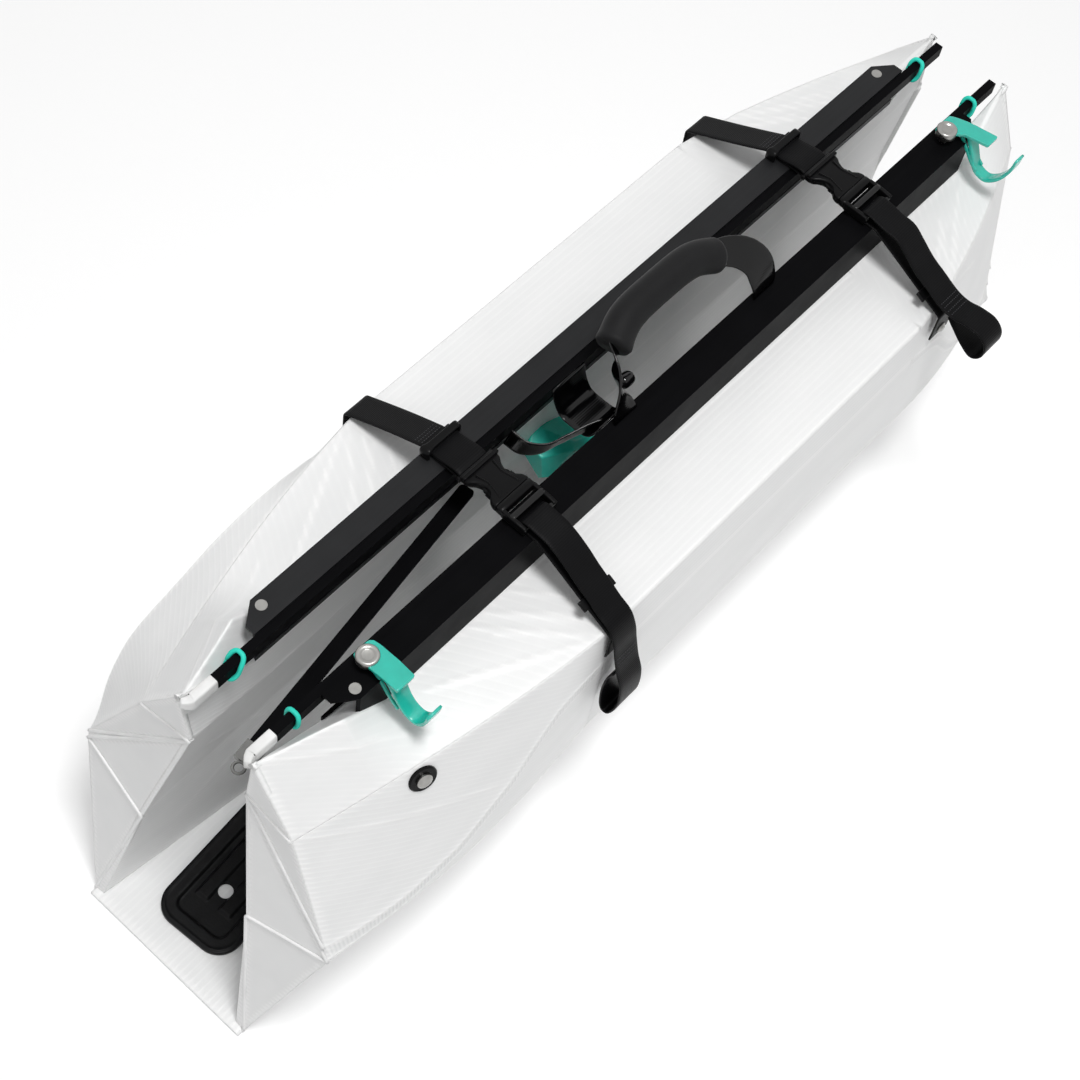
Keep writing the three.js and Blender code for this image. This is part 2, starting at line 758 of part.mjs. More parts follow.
// The right half carries on past the buckle as a free tail, which arches off the shoulder and hangs down
function rightWebbing(where, along) {
  const end = -buckle.plugEnd;
  const slot = end - buckle.barLength - buckle.slotLength / 2;
  const start = new THREE.Vector2(end + webbingThickness, upperLayer);
  const drape = new THREE.SplineCurve([
    start,
    start.clone().add(new THREE.Vector2(tail.reach / 2, 0)),
    ...tailShares[where].map(([out, up]) => (
      new THREE.Vector2(shoulderHalfWidth + out * tail.reach, shoulderHeight + up * tail.reach)
    )),
  ]).getPoints(tail.steps);
  const run = rounded([...lowerRun(slot), start.toArray()], strap.cornerRadius).slice(0, -1);
  return mirrorAcross(crosswise(bandShape([...run, ...drape], webbingThickness), webbingWidth, along));
}

function sliderSolid(along) {
  const half = webbingWidth / 2 + slider.wall;
  const frame = block([along - half, slider.across - slider.length / 2, sliderLow],
    [along + half, slider.across + slider.length / 2, sliderTop]);
  const slots = [-1, 1].map((side) => {
    const middle = slider.across + (side * (slider.bar + slider.slot)) / 2;
    return block([along - webbingWidth / 2 - seat, middle - slider.slot / 2, sliderLow - overrun],
      [along + webbingWidth / 2 + seat, middle + slider.slot / 2, sliderTop + overrun]);
  });
  return cut(frame, ...slots);
}

// The space for webbing round the bar at the outer end of either half of the buckle
function barCuts(along, end, inwards) {
  const { barLength, slotLength, barHeight } = buckle;
  const half = webbingWidth / 2 + seat;
  const between = (from, to, low) => {
    const [start, stop] = [end + inwards * from, end + inwards * to].sort((a, b) => a - b);
    return block([along - half, start, low], [along + half, stop, buckleHigh + overrun]);
  };
  return [
    between(barLength, barLength + slotLength, buckleLow - overrun),
    between(-overrun, barLength + slotLength, buckleLow + barHeight),
  ];
}

function socketSolid(along) {
  const { width, socketStart, socketEnd, wall, cornerRadius, barLength, slotLength } = buckle;
  const length = socketStart - socketEnd;
  const middle = along + buckle.aside;
  const shell = plate(roundedRectangle(width, length, cornerRadius), buckleLow, buckleHigh)
    .translate(middle, (socketStart + socketEnd) / 2, 0);
  const cavity = block([middle - width / 2 + wall, socketEnd - overrun, buckleLow + wall],
    [middle + width / 2 - wall, socketStart - barLength - slotLength - wall, buckleHigh - wall]);
  const window = block([middle - width, buckle.windowEnd, buckleLow + wall],
    [middle + width, buckle.windowStart, buckleHigh - wall]);
  return cut(shell, cavity, window, ...barCuts(along, socketStart, -1));
}

function plugSolid(along) {
  const { width, socketEnd, plugEnd, wall, cornerRadius, prongWidth, prongClearance } = buckle;
  const middle = along + buckle.aside;
  const start = socketEnd - seat;
  const length = start - plugEnd;
  const body = plate(roundedRectangle(width, length, cornerRadius), buckleLow, buckleHigh)
    .translate(middle, start - length / 2, 0);
  const reach = width / 2 - wall - prongClearance;
  const tip = buckle.windowStart + prongClearance;
  const [low, high] = [buckleLow + wall + prongClearance, buckleHigh - wall - prongClearance];
  const prongs = [-1, 1].map((side) => {
    const [inner, outer] = [side * (reach - prongWidth), side * reach].sort((a, b) => a - b);
    return block([middle + inner, start - cornerRadius, low], [middle + outer, tip, high]);
  });
  const guide = block(
    [middle - prongWidth / 2, start - cornerRadius, low],
    [middle + prongWidth / 2, tip - prongWidth, high],
  );
  return cut(join(body, ...prongs, guide), ...barCuts(along, plugEnd, 1));
}

// A domed bolt that holds the webbing's lower end to the side wall
function anchorBoltSolid(along, side) {
  const { headRadius, headHeight, rimHeight, drop, sides } = anchorBolt;
  const wall = Math.max(hip.halfWidth, bellyHalfWidth) + 2 * seat + webbingThickness;
  const bolt = revolve([
    [0, 0], [headRadius, 0], [headRadius, rimHeight], [headRadius / 2, headHeight], [0, headHeight],
  ], sides)
    .rotateX(-Math.PI / 2)
    .translate(along, wall, shoulderHeight - drop);
  return onSide(bolt, side);
}

function addStrap(where, along) {
  addPiece(`${where}_strap_left_webbing`, leftWebbing(along), 'webbing');
  addPiece(`${where}_strap_slider`, sliderSolid(along), 'moulded');
  addPiece(`${where}_buckle_socket`, socketSolid(along), 'moulded');
  addPiece(`${where}_buckle_plug`, plugSolid(along), 'moulded');
  addPiece(`${where}_strap_right_webbing`, rightWebbing(where, along), 'webbing');
  addPiece(`${where}_strap_left_bolt`, anchorBoltSolid(along, 1), 'steel');
  addPiece(`${where}_strap_right_bolt`, anchorBoltSolid(along, -1), 'steel');
}

// Paddle hooks

function hookProfile() {
  const { thickness, plateBack, plateReach } = hook;
  const level = thickness / 2;
  const bend = (shares) => shares.map(([out, up]) => [out * plateReach, level + up * plateReach]);
  const arm = rounded(bend(armShares), plateReach * armRoundShare, 6);
  const top = rounded([[-plateBack, level], ...bend(topShares)], plateReach * armRoundShare);
  return { arm: bandShape(arm, thickness), top: bandShape(top, thickness) };
}

function hookSolid() {
  const { arm, top } = hookProfile();
  const outwards = join(
    crosswise(top, hook.plateWidth, 0),
    crosswise(arm, hook.bowlWidth, 0),
  );
  const bore = rod(thumbBolt.shankRadius + seat, -overrun, hook.thickness + overrun, detail.boreSides);
  return cut(outwards, bore);
}

function thumbBoltSolid() {
  const { headRadius, headHeight, neckRadius, neckHeight, shankRadius, shankLength } = thumbBolt;
  const base = hook.thickness + seat;
  const [headLow, headTop] = [base + neckHeight, base + neckHeight + headHeight];
  const profile = [
    [0, -shankLength], [shankRadius, -shankLength], [shankRadius, base], [neckRadius, base],
    [neckRadius, headLow], [headRadius, headLow], [headRadius, headTop], [0, headTop],
  ];
  return revolve(profile, thumbBolt.knurls);
}

function addHook(where) {
  const { along, across, turn } = hookSpots[where];
  const body = mirrorAcross(hookSolid())
    .rotateZ(turn * degrees)
    .translate(along, -across, railTop + seat);
  addPiece(`${where}_hook`, body, 'teal');
  addPiece(`${where}_thumb_bolt`, thumbBoltSolid().translate(along, -across, railTop + seat), 'steel');
}

// Carry handle: a foam grip on a flat band that comes down to the right rail at both ends.
// It is drawn flat, with its anchors on the line y = 0, then tilted up over the valley.

function placeHandle(geometry) {
  return geometry
    .rotateX(handle.tilt * degrees)
    .translate(0, -valleyHalfWidth - handle.anchorInset, lowerLayer);
}

function gripCurve() {
  return new THREE.CatmullRomCurve3(gripShares.map(([along, droop]) => (
    new THREE.Vector3(mix(handle.gripNear, handle.gripFar, along), handle.reach - handle.droop * droop, 0)
  )));
}

function gripSolid() {
  const section = new THREE.Shape();
  section.absarc(0, 0, handle.gripRadius, 0, Math.PI * 2);
  const bore = new THREE.Path();
  bore.absarc(0, 0, handle.boreRadius, 0, Math.PI * 2, true);
  section.holes.push(bore);
  return new THREE.ExtrudeGeometry(section, {
    steps: detail.gripSteps, curveSegments: detail.gripSides, bevelEnabled: false, extrudePath: gripCurve(),
  });
}

function handleBand() {
  const curve = gripCurve();
  const core = curve.getPoints(detail.coreSteps).map((point) => new THREE.Vector2(point.x, point.y));
  const [near, far] = [handle.nearFoot, handle.farFoot];
  const rise = handle.reach - handle.droop;
  const leg = (foot, gripEnd) => legShares.map(([along, up]) => (
    new THREE.Vector2(mix(foot, gripEnd, along), rise * up)
  ));
  const path = [...leg(near, core[0].x), ...core, ...leg(far, core[core.length - 1].x).reverse()];
  const half = handle.coreWidth / 2;
  return plate(bandShape(path, half * 2), -webbingThickness / 2, webbingThickness / 2);
}

// The sling hangs between the battens, with its ends turned up against them
function slingSolid() {
  const reach = valleyHalfWidth - 2 * seat - batten.width - sling.thickness / 2;
  const top = railTop - batten.drop;
  const low = top - batten.height - sling.sag;
  const path = rounded([
    [reach, top], [reach, top - batten.height], [reach * slingFlatShare, low],
    [-reach * slingFlatShare, low], [-reach, top - batten.height], [-reach, top],
  ], sling.sag / 2, detail.bendSteps);
  return crosswise(bandShape(path, sling.thickness), sling.width, sling.fromMiddle);
}

// Loose pieces

function looseBattenSolid() {
  const { length, width, thickness } = looseBatten;
  return plate(roundedRectangle(length, width, width / 4), 0, thickness).translate(length / 2, 0, 0);
}

function endClipSolid() {
  const { length, wall, loopRadius, loopWire } = endClip;
  const { width, thickness } = looseBatten;
  const grip = endClip.clearance;
  const edge = wall + grip;
  const cap = cut(
    block([-edge, -width / 2 - edge, -edge], [length, width / 2 + edge, thickness + edge]),
    block([-grip, -width / 2 - grip, -grip], [length + overrun, width / 2 + grip, thickness + grip]),
  );
  const ring = new THREE.TorusGeometry(loopRadius, loopWire, detail.loopSides, detail.boreSides)
    .translate(-loopRadius - loopWire - grip, 0, thickness / 2);
  return join(cap, ring);
}

// The inner wall's distance from the middle of the valley at a height above the knee fold
function innerWallAcross(up) {
  return mix(valleyHalfWidth, knee.halfWidth, (shoulderHeight - up) / knee.drop);
}

// The loose batten's far corner rests on the left inner wall
function placeLoose(geometry) {
  const { length, width, thickness, along, drop, turn } = looseBatten;
  const up = shoulderHeight - drop;
  const cornerAcross = length * Math.sin(turn * degrees) + (width / 2) * Math.cos(turn * degrees);
  return geometry
    .rotateZ(turn * degrees)
    .translate(fromNear(along), innerWallAcross(up + thickness) - seat - cornerAcross, up);
}

// A pleated pouch, packed flat against the left inner wall
function softBagSolid() {
  const { length, height, thickness, fromMiddle, drop, pleats, pleatDepth } = softBag;
  const up = shoulderHeight - drop;
  const geometry = new THREE.SphereGeometry(1, 24, 14);
  const position = geometry.attributes.position;
  const point = new THREE.Vector3();
  const bulge = (value) => Math.sign(value) * Math.abs(value) ** bagSquareShare;
  for (let i = 0; i < position.count; i += 1) {
    point.fromBufferAttribute(position, i);
    const pleat = (Math.cos(point.x * Math.PI * pleats) - 1) * Math.abs(point.y) * pleatDepth / 2;
    const depth = thickness / 2 + pleat;
    const [x, y, z] = point.toArray().map(bulge);
    position.setXYZ(i, (x * length) / 2, y * depth, (z * height) / 2);
  }
  const lean = Math.atan2(knee.halfWidth - valleyHalfWidth, knee.drop);
  const across = innerWallAcross(up) - (thickness / 2 + seat) / Math.cos(lean);
  return positionOnly(geometry).rotateX(lean).translate(fromMiddle, across, up);
}

// Side wall fasteners
// A line straight in from the side finds the skin, and each piece is turned to its normal.
// It rests on the highest points of the folded skin beneath its rim.

function skinUnder(ray) {
  for (const triangle of skin.side) {
    const spot = ray.intersectTriangle(...triangle, false, new THREE.Vector3());
    if (spot) return { spot, normal: faceNormal(triangle).normalize() };
  }
  return null;
}

function restOnSide(geometry, radius) {
  const eye = new THREE.Vector3(fromNear(washer.along), floorWidth, shoulderHeight - washer.drop);
  const { spot: centre, normal } = skinUnder(new THREE.Ray(eye, new THREE.Vector3(0, -1, 0)));
  const turn = new THREE.Quaternion().setFromUnitVectors(new THREE.Vector3(0, 0, 1), normal);
  const heights = [0];
  for (let i = 0; i < washer.sides; i += 1) {
    const angle = (i / washer.sides) * 2 * Math.PI;
    const rim = new THREE.Vector3(Math.cos(angle), Math.sin(angle), 1).multiplyScalar(radius);
    const under = skinUnder(new THREE.Ray(rim.applyQuaternion(turn).add(centre), normal.clone().negate()));
    if (under) heights.push(under.spot.sub(centre).dot(normal));
  }
  const rest = centre.addScaledVector(normal, Math.max(...heights) + seat);
  return geometry.applyQuaternion(turn).translate(...rest.toArray());
}

function washerSolid() {
  const { radius, thickness, bore, chamfer } = washer;
  return revolve([
    [bore, 0], [radius, 0], [radius, thickness - chamfer],
    [radius - chamfer, thickness], [bore, thickness], [bore, 0],
  ], washer.sides);
}

function sideBoltSolid() {
  const { headRadius, headHeight, shankRadius, sides } = sideBolt;
  const base = washer.thickness + seat;
  return revolve([
    [0, seat], [shankRadius, seat], [shankRadius, base], [headRadius, base],
    [headRadius, base + headHeight / 2], [headRadius / 2, base + headHeight], [0, base + headHeight],
  ], sides);
}

function addSideFastener(side, sideName) {
  const fit = (geometry) => onSide(restOnSide(geometry, washer.radius), side);
  addPiece(`${sideName}_side_washer`, fit(washerSolid()), 'moulded');
  addPiece(`${sideName}_side_bolt`, fit(sideBoltSolid()), 'steel');
}

// Assembly

addPiece('floor_panel', floorPanel(), 'sheet');
addPiece('foot_plate', footPlateSolid(), 'moulded');
for (const [side, sideName] of [[1, 'left'], [-1, 'right']]) {
  addWingPanels(side, sideName);
  addRail(side, sideName);
  addBatten(side, sideName);
  addSideFastener(side, sideName);
}
addStrap('near', fromNear(strap.fromNearEnd));
addStrap('far', fromFar(strap.fromFarEnd));
addHook('near');
addHook('far');
addPiece('handle_grip', placeHandle(gripSolid()), 'foam');
addPiece('handle_band', placeHandle(handleBand()), 'webbing');
addPiece('handle_sling', slingSolid(), 'webbing');
addPiece('loose_batten', placeLoose(looseBattenSolid()), 'rail');
addPiece('loose_batten_clip', placeLoose(endClipSolid()), 'steel');
addPiece('soft_bag', softBagSolid(), 'bag');

export default kayak;
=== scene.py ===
import bmesh
import bpy
import numpy as np
from mathutils import Matrix, Vector


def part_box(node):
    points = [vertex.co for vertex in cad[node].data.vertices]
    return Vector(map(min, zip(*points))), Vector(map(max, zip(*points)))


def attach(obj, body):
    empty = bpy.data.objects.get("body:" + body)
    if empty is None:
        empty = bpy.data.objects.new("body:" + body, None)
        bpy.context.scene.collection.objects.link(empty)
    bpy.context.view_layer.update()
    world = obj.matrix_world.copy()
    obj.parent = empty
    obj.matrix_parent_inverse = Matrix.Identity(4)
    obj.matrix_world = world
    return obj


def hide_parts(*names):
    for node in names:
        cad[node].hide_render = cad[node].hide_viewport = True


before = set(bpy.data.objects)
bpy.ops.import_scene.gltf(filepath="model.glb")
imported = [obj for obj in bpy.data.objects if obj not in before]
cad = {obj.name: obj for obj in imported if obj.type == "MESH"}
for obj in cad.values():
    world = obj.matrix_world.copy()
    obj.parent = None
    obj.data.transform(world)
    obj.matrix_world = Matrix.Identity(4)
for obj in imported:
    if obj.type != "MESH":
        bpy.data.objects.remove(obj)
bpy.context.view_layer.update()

HULL_LENGTH = 1060.0
FLUTE_PITCH = 5.7
SHEET = 4.0
SHOULDER = 307.0
RAIL_TOP = 350.3
VALLEY = 33.5
RAIL_OUTER = 55.5
WEBBING_WIDTH = 26.0
WEBBING = 1.8
LOWER_LAYER = RAIL_TOP + 0.3 + WEBBING / 2


# Meshes

def to_frame(points):
    """Millimetres from the near end, as metres in the frame: (x - half the hull, y, z) times 0.001."""
    return (np.asarray(points, float) - [HULL_LENGTH / 2, 0, 0]) * 0.001


def from_frame(corner):
    return np.array(corner) * 1000 + [HULL_LENGTH / 2, 0, 0]


def grid_quads(rows, columns, wrap=False):
    """Quads between the neighbours of a grid of points, row by row. With wrap the last column meets the first."""
    i, j = np.meshgrid(np.arange(rows - 1), np.arange(columns if wrap else columns - 1), indexing="ij")
    k = (j + 1) % columns
    return np.stack([i * columns + j, i * columns + k, (i + 1) * columns + k, (i + 1) * columns + j], -1).reshape(-1, 4)


def link(thing):
    """Puts an object into the scene."""
    bpy.context.scene.collection.objects.link(thing)


def make_piece(name, points, quads, material, body, uv=None, marks=None):
    """A mesh object from points in millimetres and quads. uv holds two numbers in metres for each quad corner,
    or for each point; marks are named numbers for each point. The closed mesh gets its faces turned outwards."""
    mesh = bpy.data.meshes.new(name)
    faces = [face[:3] if face[3] == face[0] else face for face in quads.tolist()]
    mesh.from_pydata(to_frame(points).tolist(), [], faces)
    if uv is not None:
        layer = mesh.uv_layers.new(name="flat")
        corners = uv[quads] if uv.ndim == 2 else uv
        layer.data.foreach_set("uv", corners.reshape(-1).astype(np.float32))
    for key, values in (marks or {}).items():
        mesh.attributes.new(key, "FLOAT", "POINT").data.foreach_set("value", values.astype(np.float32))
    tidy = bmesh.new()
    tidy.from_mesh(mesh)
    bmesh.ops.remove_doubles(tidy, verts=tidy.verts, dist=1e-6)
    bmesh.ops.dissolve_degenerate(tidy, edges=tidy.edges, dist=1e-7)
    bmesh.ops.recalc_face_normals(tidy, faces=tidy.faces)
    tidy.to_mesh(mesh)
    tidy.free()
    mesh.polygons.foreach_set("use_smooth", [True] * len(mesh.polygons))
    piece = bpy.data.objects.new(name, mesh)
    link(piece)
    mesh.materials.append(material)
    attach(piece, body)
    return piece


def unit(vectors):
    """Each vector divided by its length."""
    return vectors / np.maximum(np.linalg.norm(vectors, axis=-1, keepdims=True), 1e-12)


def resample(path, step):
    """Points at even distances, about step apart, along a path of straight pieces."""
    path = np.asarray(path, float)
    run = np.r_[0, np.cumsum(np.linalg.norm(np.diff(path, axis=0), axis=1))]
    at = np.linspace(0, run[-1], max(2, int(round(run[-1] / step)) + 1))
    return np.stack([np.interp(at, run, path[:, k]) for k in range(path.shape[1])], 1)


def rounded(points, radius, steps=6):
    """A path whose corners are replaced by short curves: b(t) = (1-t)^2 start + 2t(1-t) corner + t^2 end,
    where start and end lie radius from the corner, or half way to the next one if that is nearer."""
    points = [np.asarray(p, float) for p in points]
    path = [points[0][None]]
    t = np.linspace(0, 1, steps)[:, None]
    for before, corner, after in zip(points, points[1:], points[2:]):
        back, on = before - corner, after - corner
        reach = min(radius, np.linalg.norm(back) / 2, np.linalg.norm(on) / 2)
        start, end = corner + unit(back) * reach, corner + unit(on) * reach
        path.append((1 - t) ** 2 * start + 2 * t * (1 - t) * corner + t ** 2 * end)
    path.append(points[-1][None])
    return np.concatenate(path)


def through(points, steps=12):
    """A smooth curve through points (uniform Catmull-Rom): each span blends the two chords at its ends."""
    p = np.asarray(points, float)
    p = np.concatenate([[2 * p[0] - p[1]], p, [2 * p[-1] - p[-2]]])
    t = np.linspace(0, 1, steps, endpoint=False)[:, None]
    spans = [
        0.5 * (2 * b + (c - a) * t + (2 * a - 5 * b + 4 * c - d) * t ** 2 + (3 * b - a - 3 * c + d) * t ** 3)
        for a, b, c, d in zip(p, p[1:], p[2:], p[3:])
    ]
    return np.concatenate([*spans, p[-2][None]])


def sweep(name, path, across, profile, material, body):
    """A profile carried along a path and closed at both ends. A ring is the path's point, plus the profile's first
    number along across, plus its second along the cross product of the path's direction and across."""
    path = np.asarray(path, float)
    run = unit(np.gradient(path, axis=0))
    across = np.broadcast_to(np.asarray(across, float), path.shape)
    across = unit(across - run * np.sum(across * run, 1, keepdims=True))
    out = np.cross(run, across)
    profile = np.asarray(profile, float)
    if profile.ndim == 2:
        profile = np.broadcast_to(profile, (len(path), *profile.shape))
    rings = path[:, None] + profile[..., :1] * across[:, None] + profile[..., 1:] * out[:, None]
    caps = [path[None, end].repeat(rings.shape[1], 1) for end in (slice(1), slice(-1, None))]
    rings = np.concatenate([caps[0], rings, caps[1]])
    rows, columns = rings.shape[:2]
    length = np.r_[0, np.cumsum(np.linalg.norm(np.diff(path, axis=0), axis=1))]
    length = np.r_[length[0], length, length[-1]]
    girth = np.r_[0, np.cumsum(np.linalg.norm(np.diff(profile[0], axis=0), axis=1))]
    uv = np.stack(np.broadcast_arrays(length[:, None], girth[None]), -1).reshape(-1, 2) * 0.001
    return make_piece(name, rings.reshape(-1, 3), grid_quads(rows, columns, wrap=True), material, body, uv=uv)


def boxy_profile(width, height, sides=24, power=5.0):
    """A superellipse: |x / half width|^power + |y / half height|^power = 1."""
    turn = np.linspace(0, 2 * np.pi, sides, endpoint=False)
    cos, sin = np.cos(turn), np.sin(turn)
    return np.stack([np.sign(cos) * np.abs(cos) ** (2 / power) * width / 2,
                     np.sign(sin) * np.abs(sin) ** (2 / power) * height / 2], 1)


def lofted(name, y, low_x, high_x, low_z, high_z, material, body, power=6.0):
    """A body lofted along Y: at each y a superellipse fills the box between the given sides. Going back along Y
    with smaller sides at the end makes a mouth."""
    sides = (np.asarray(v, float) for v in (y, low_x, high_x, low_z, high_z))
    y, low_x, high_x, low_z, high_z = np.broadcast_arrays(*sides)
    shape = boxy_profile(1, 1, 40, power)
    x = (low_x + high_x)[:, None] / 2 + shape[:, 0] * (high_x - low_x)[:, None]
    z = (low_z + high_z)[:, None] / 2 + shape[:, 1] * (high_z - low_z)[:, None]
    rings = np.stack([x, np.broadcast_to(y[:, None], x.shape), z], -1)
    caps = rings.mean(1)[:, None].repeat(rings.shape[1], 1)
    rings = np.concatenate([caps[:1], rings, caps[-1:]])
    return make_piece(name, rings.reshape(-1, 3), grid_quads(*rings.shape[:2], wrap=True), material, body)


def dots(name, centres, way, out, size, material, body):
    """Small domes, such as stitches: half ellipsoids on a 7 x 4 grid, long along way and raised along out."""
    centres, way, out = (np.asarray(v, float) for v in (centres, way, out))
    way = unit(np.broadcast_to(way, centres.shape))
    out = unit(np.broadcast_to(out, centres.shape))
    side = np.cross(way, out)
    u, v = np.meshgrid(np.linspace(0, np.pi / 2, 4), np.linspace(0, 2 * np.pi, 7, endpoint=False), indexing="ij")
    shape = np.stack([np.cos(u) * np.cos(v), np.cos(u) * np.sin(v), np.sin(u)], -1).reshape(-1, 3)
    shape = np.concatenate([shape * np.asarray(size) / 2, [[0, 0, 0]]])
    frames = np.stack([way, side, out], 1)
    points = centres[:, None] + np.einsum("pk,nkj->npj", shape, frames)
    quads = grid_quads(4, 7, wrap=True)
    ring = np.arange(7)
    floor_faces = np.stack([np.full(7, 28), (ring + 1) % 7, ring, np.full(7, 28)], 1)
    faces = np.concatenate([quads, floor_faces])
    faces = (faces[None] + (np.arange(len(centres)) * 29)[:, None, None]).reshape(-1, 4)
    make_piece(name, points.reshape(-1, 3), faces, material, body)


def flat_profile(width, thickness, swell=0.12):
    """Half-round edges on a flat strip, a little thicker along its two selvedges."""
    half, edge = width / 2, thickness / 2
    turn = np.linspace(-np.pi / 2, np.pi / 2, 5)
    right = np.stack([half - edge + np.cos(turn) * edge, np.sin(turn) * edge], 1)
    level = np.linspace(half - edge, -half + edge, 9)[1:-1]
    dip = edge * (1 - swell * np.cos(level / half * np.pi / 2))
    top = np.stack([level, dip], 1)
    half_loop = np.concatenate([right, top])
    return np.concatenate([half_loop, -half_loop])


def round_profile(radius, sides=16):
    """A circle of points."""
    turn = np.linspace(0, 2 * np.pi, sides, endpoint=False)
    return np.stack([np.cos(turn), np.sin(turn)], 1) * radius


# Materials

def add_node(tree, kind, values=None, inputs=None, **settings):
    """A shader node with its settings, its values by socket and its links by socket."""
    node = tree.nodes.new(kind)
    for key, value in settings.items():
        setattr(node, key, value)
    for key, value in (values or {}).items():
        node.inputs[key].default_value = value
    for key, source in (inputs or {}).items():
        tree.links.new(source, node.inputs[key])
    return node


def new_finish(name, colour, roughness, **sockets):
    """A material on the principled shader with even values on its own sockets."""
    material = bpy.data.materials.new(name)
    material.use_nodes = True
    shader = material.node_tree.nodes["Principled BSDF"]
    shader.inputs["Base Color"].default_value = (*colour, 1)
    shader.inputs["Roughness"].default_value = roughness
    for key, value in sockets.items():
        shader.inputs[key.replace("_", " ")].default_value = value
    material.diffuse_color = (*colour, 1)
    return material, material.node_tree, shader


def mix_colours(tree, share, low, high):
    """A colour between two, by a number from 0 to 1."""
    ramp = add_node(tree, "ShaderNodeValToRGB", inputs={"Fac": share})
    ramp.color_ramp.elements[0].color = (*low, 1)
    ramp.color_ramp.elements[1].color = (*high, 1)
    return ramp.outputs["Color"]


def tint(tree, shader, share, colour, low, high):
    """The base colour, drifting between low and high times the colour by a number from 0 to 1."""
    dark, light = (tuple(min(1.0, c * factor) for c in colour) for factor in (low, high))
    tree.links.new(mix_colours(tree, share, dark, light), shader.inputs["Base Color"])


def mathed(tree, operation, first, second=None, third=None):
    """One sum on sockets or numbers."""
    node = tree.nodes.new("ShaderNodeMath")
    node.operation = operation
    for place, value in zip(node.inputs, (first, second, third)):
        if value is None:
            continue
        if isinstance(value, (int, float)):
            place.default_value = value
        else:
            tree.links.new(value, place)
    return node.outputs["Value"]


def noise(tree, where, scale, detail=3.0, roughness=0.5, stretch=(1, 1, 1)):
    """A noise pattern on the given coordinates, stretched along its axes."""
    mapping = add_node(tree, "ShaderNodeMapping", {"Scale": stretch}, {"Vector": where})
    return add_node(tree, "ShaderNodeTexNoise", {"Scale": scale, "Detail": detail, "Roughness": roughness},
                    {"Vector": mapping.outputs["Vector"]}).outputs["Fac"]


def raise_surface(tree, shader, height, distance, strength=1.0):
    """A bump of that height in metres on the shader's normal."""
    bump = add_node(tree, "ShaderNodeBump", {"Strength": strength, "Distance": distance}, {"Height": height})
    tree.links.new(bump.outputs["Normal"], shader.inputs["Normal"])


def place(tree):
    """Object coordinates."""
    return add_node(tree, "ShaderNodeTexCoord").outputs["Object"]


def wave(tree, value, pitch):
    """A smooth wave of that pitch along a coordinate, from 0 to 1."""
    turned = mathed(tree, "SINE", mathed(tree, "MULTIPLY", value, 2 * np.pi / pitch))
    return mathed(tree, "MULTIPLY_ADD", turned, 0.5, 0.5)


def sheet_finish(name):
    """White, slightly translucent fluted sheet. Each mesh brings four numbers for each point: flute, the distance
    across the flutes in metres; rib, how far they show; fold, how near a folded edge or crease is; and seam, which
    is 1 on the welded seams. Folds are paler and toothed by the flutes, and seams are cross-hatched."""
    material, tree, shader = new_finish(name, (0.9, 0.905, 0.9), 0.36, Subsurface_Weight=0.2, Subsurface_Scale=0.005,
                                        Specular_IOR_Level=0.35)
    shader.inputs["Subsurface Radius"].default_value = (1.0, 1.0, 1.0)
    where = place(tree)
    mark = lambda key: add_node(tree, "ShaderNodeAttribute", attribute_name=key).outputs["Fac"]
    across, rib, fold, seam = mark("flute"), mark("rib"), mark("fold"), mark("seam")
    lines = wave(tree, across, FLUTE_PITCH * 0.001)
    ridge = mathed(tree, "MULTIPLY", mathed(tree, "POWER", lines, 4.0), rib)
    teeth = mathed(tree, "MULTIPLY", fold, mathed(tree, "POWER", lines, 2.0))
    along = add_node(tree, "ShaderNodeSeparateXYZ", inputs={"Vector": where}).outputs["X"]
    hatch = mathed(tree, "MULTIPLY", seam, wave(tree, along, 0.0035))
    cloud = noise(tree, where, 14, 2, 0.5, (1, 2.5, 2.5))
    tone = mathed(tree, "MULTIPLY_ADD", cloud, 0.55, 0.12)
    tone = mathed(tree, "MULTIPLY_ADD", ridge, 0.2, tone)
    tone = mathed(tree, "MULTIPLY_ADD", fold, 0.4, tone)
    tone = mathed(tree, "MULTIPLY_ADD", teeth, 0.9, tone)
    tone = mathed(tree, "MULTIPLY_ADD", hatch, -0.42, tone)
    tree.links.new(mix_colours(tree, tone, (0.83, 0.835, 0.835), (0.975, 0.975, 0.97)), shader.inputs["Base Color"])
    scuff = noise(tree, where, 90, 4, 0.6)
    tree.links.new(mathed(tree, "MULTIPLY_ADD", scuff, 0.2, 0.3), shader.inputs["Roughness"])
    height = mathed(tree, "MULTIPLY_ADD", ridge, 0.2, mathed(tree, "MULTIPLY", teeth, 0.22))
    height = mathed(tree, "MULTIPLY_ADD", hatch, -0.8, height)
    height = mathed(tree, "MULTIPLY_ADD", noise(tree, where, 30, 3, 0.5, (0.5, 1, 1)), 0.5, height)
    raise_surface(tree, shader, height, 0.0005)
    return material


def anodised(name, colour, roughness, shine):
    """Black anodised aluminium with a fine drawn grain along X, and paler wear in thin scratches."""
    material, tree, shader = new_finish(name, colour, roughness, Specular_IOR_Level=shine)
    where = place(tree)
    grain = noise(tree, where, 260, 3, 0.6, (0.03, 1, 1))
    cloud = noise(tree, where, 26, 3, 0.55)
    tone = mathed(tree, "MULTIPLY_ADD", grain, 0.4, mathed(tree, "MULTIPLY", cloud, 0.6))
    tint(tree, shader, tone, colour, 0.6, 1.9)
    rough = mathed(tree, "MULTIPLY_ADD", cloud, 0.22, roughness - 0.08)
    tree.links.new(rough, shader.inputs["Roughness"])
    raise_surface(tree, shader, grain, 0.00005, 0.6)
    return material


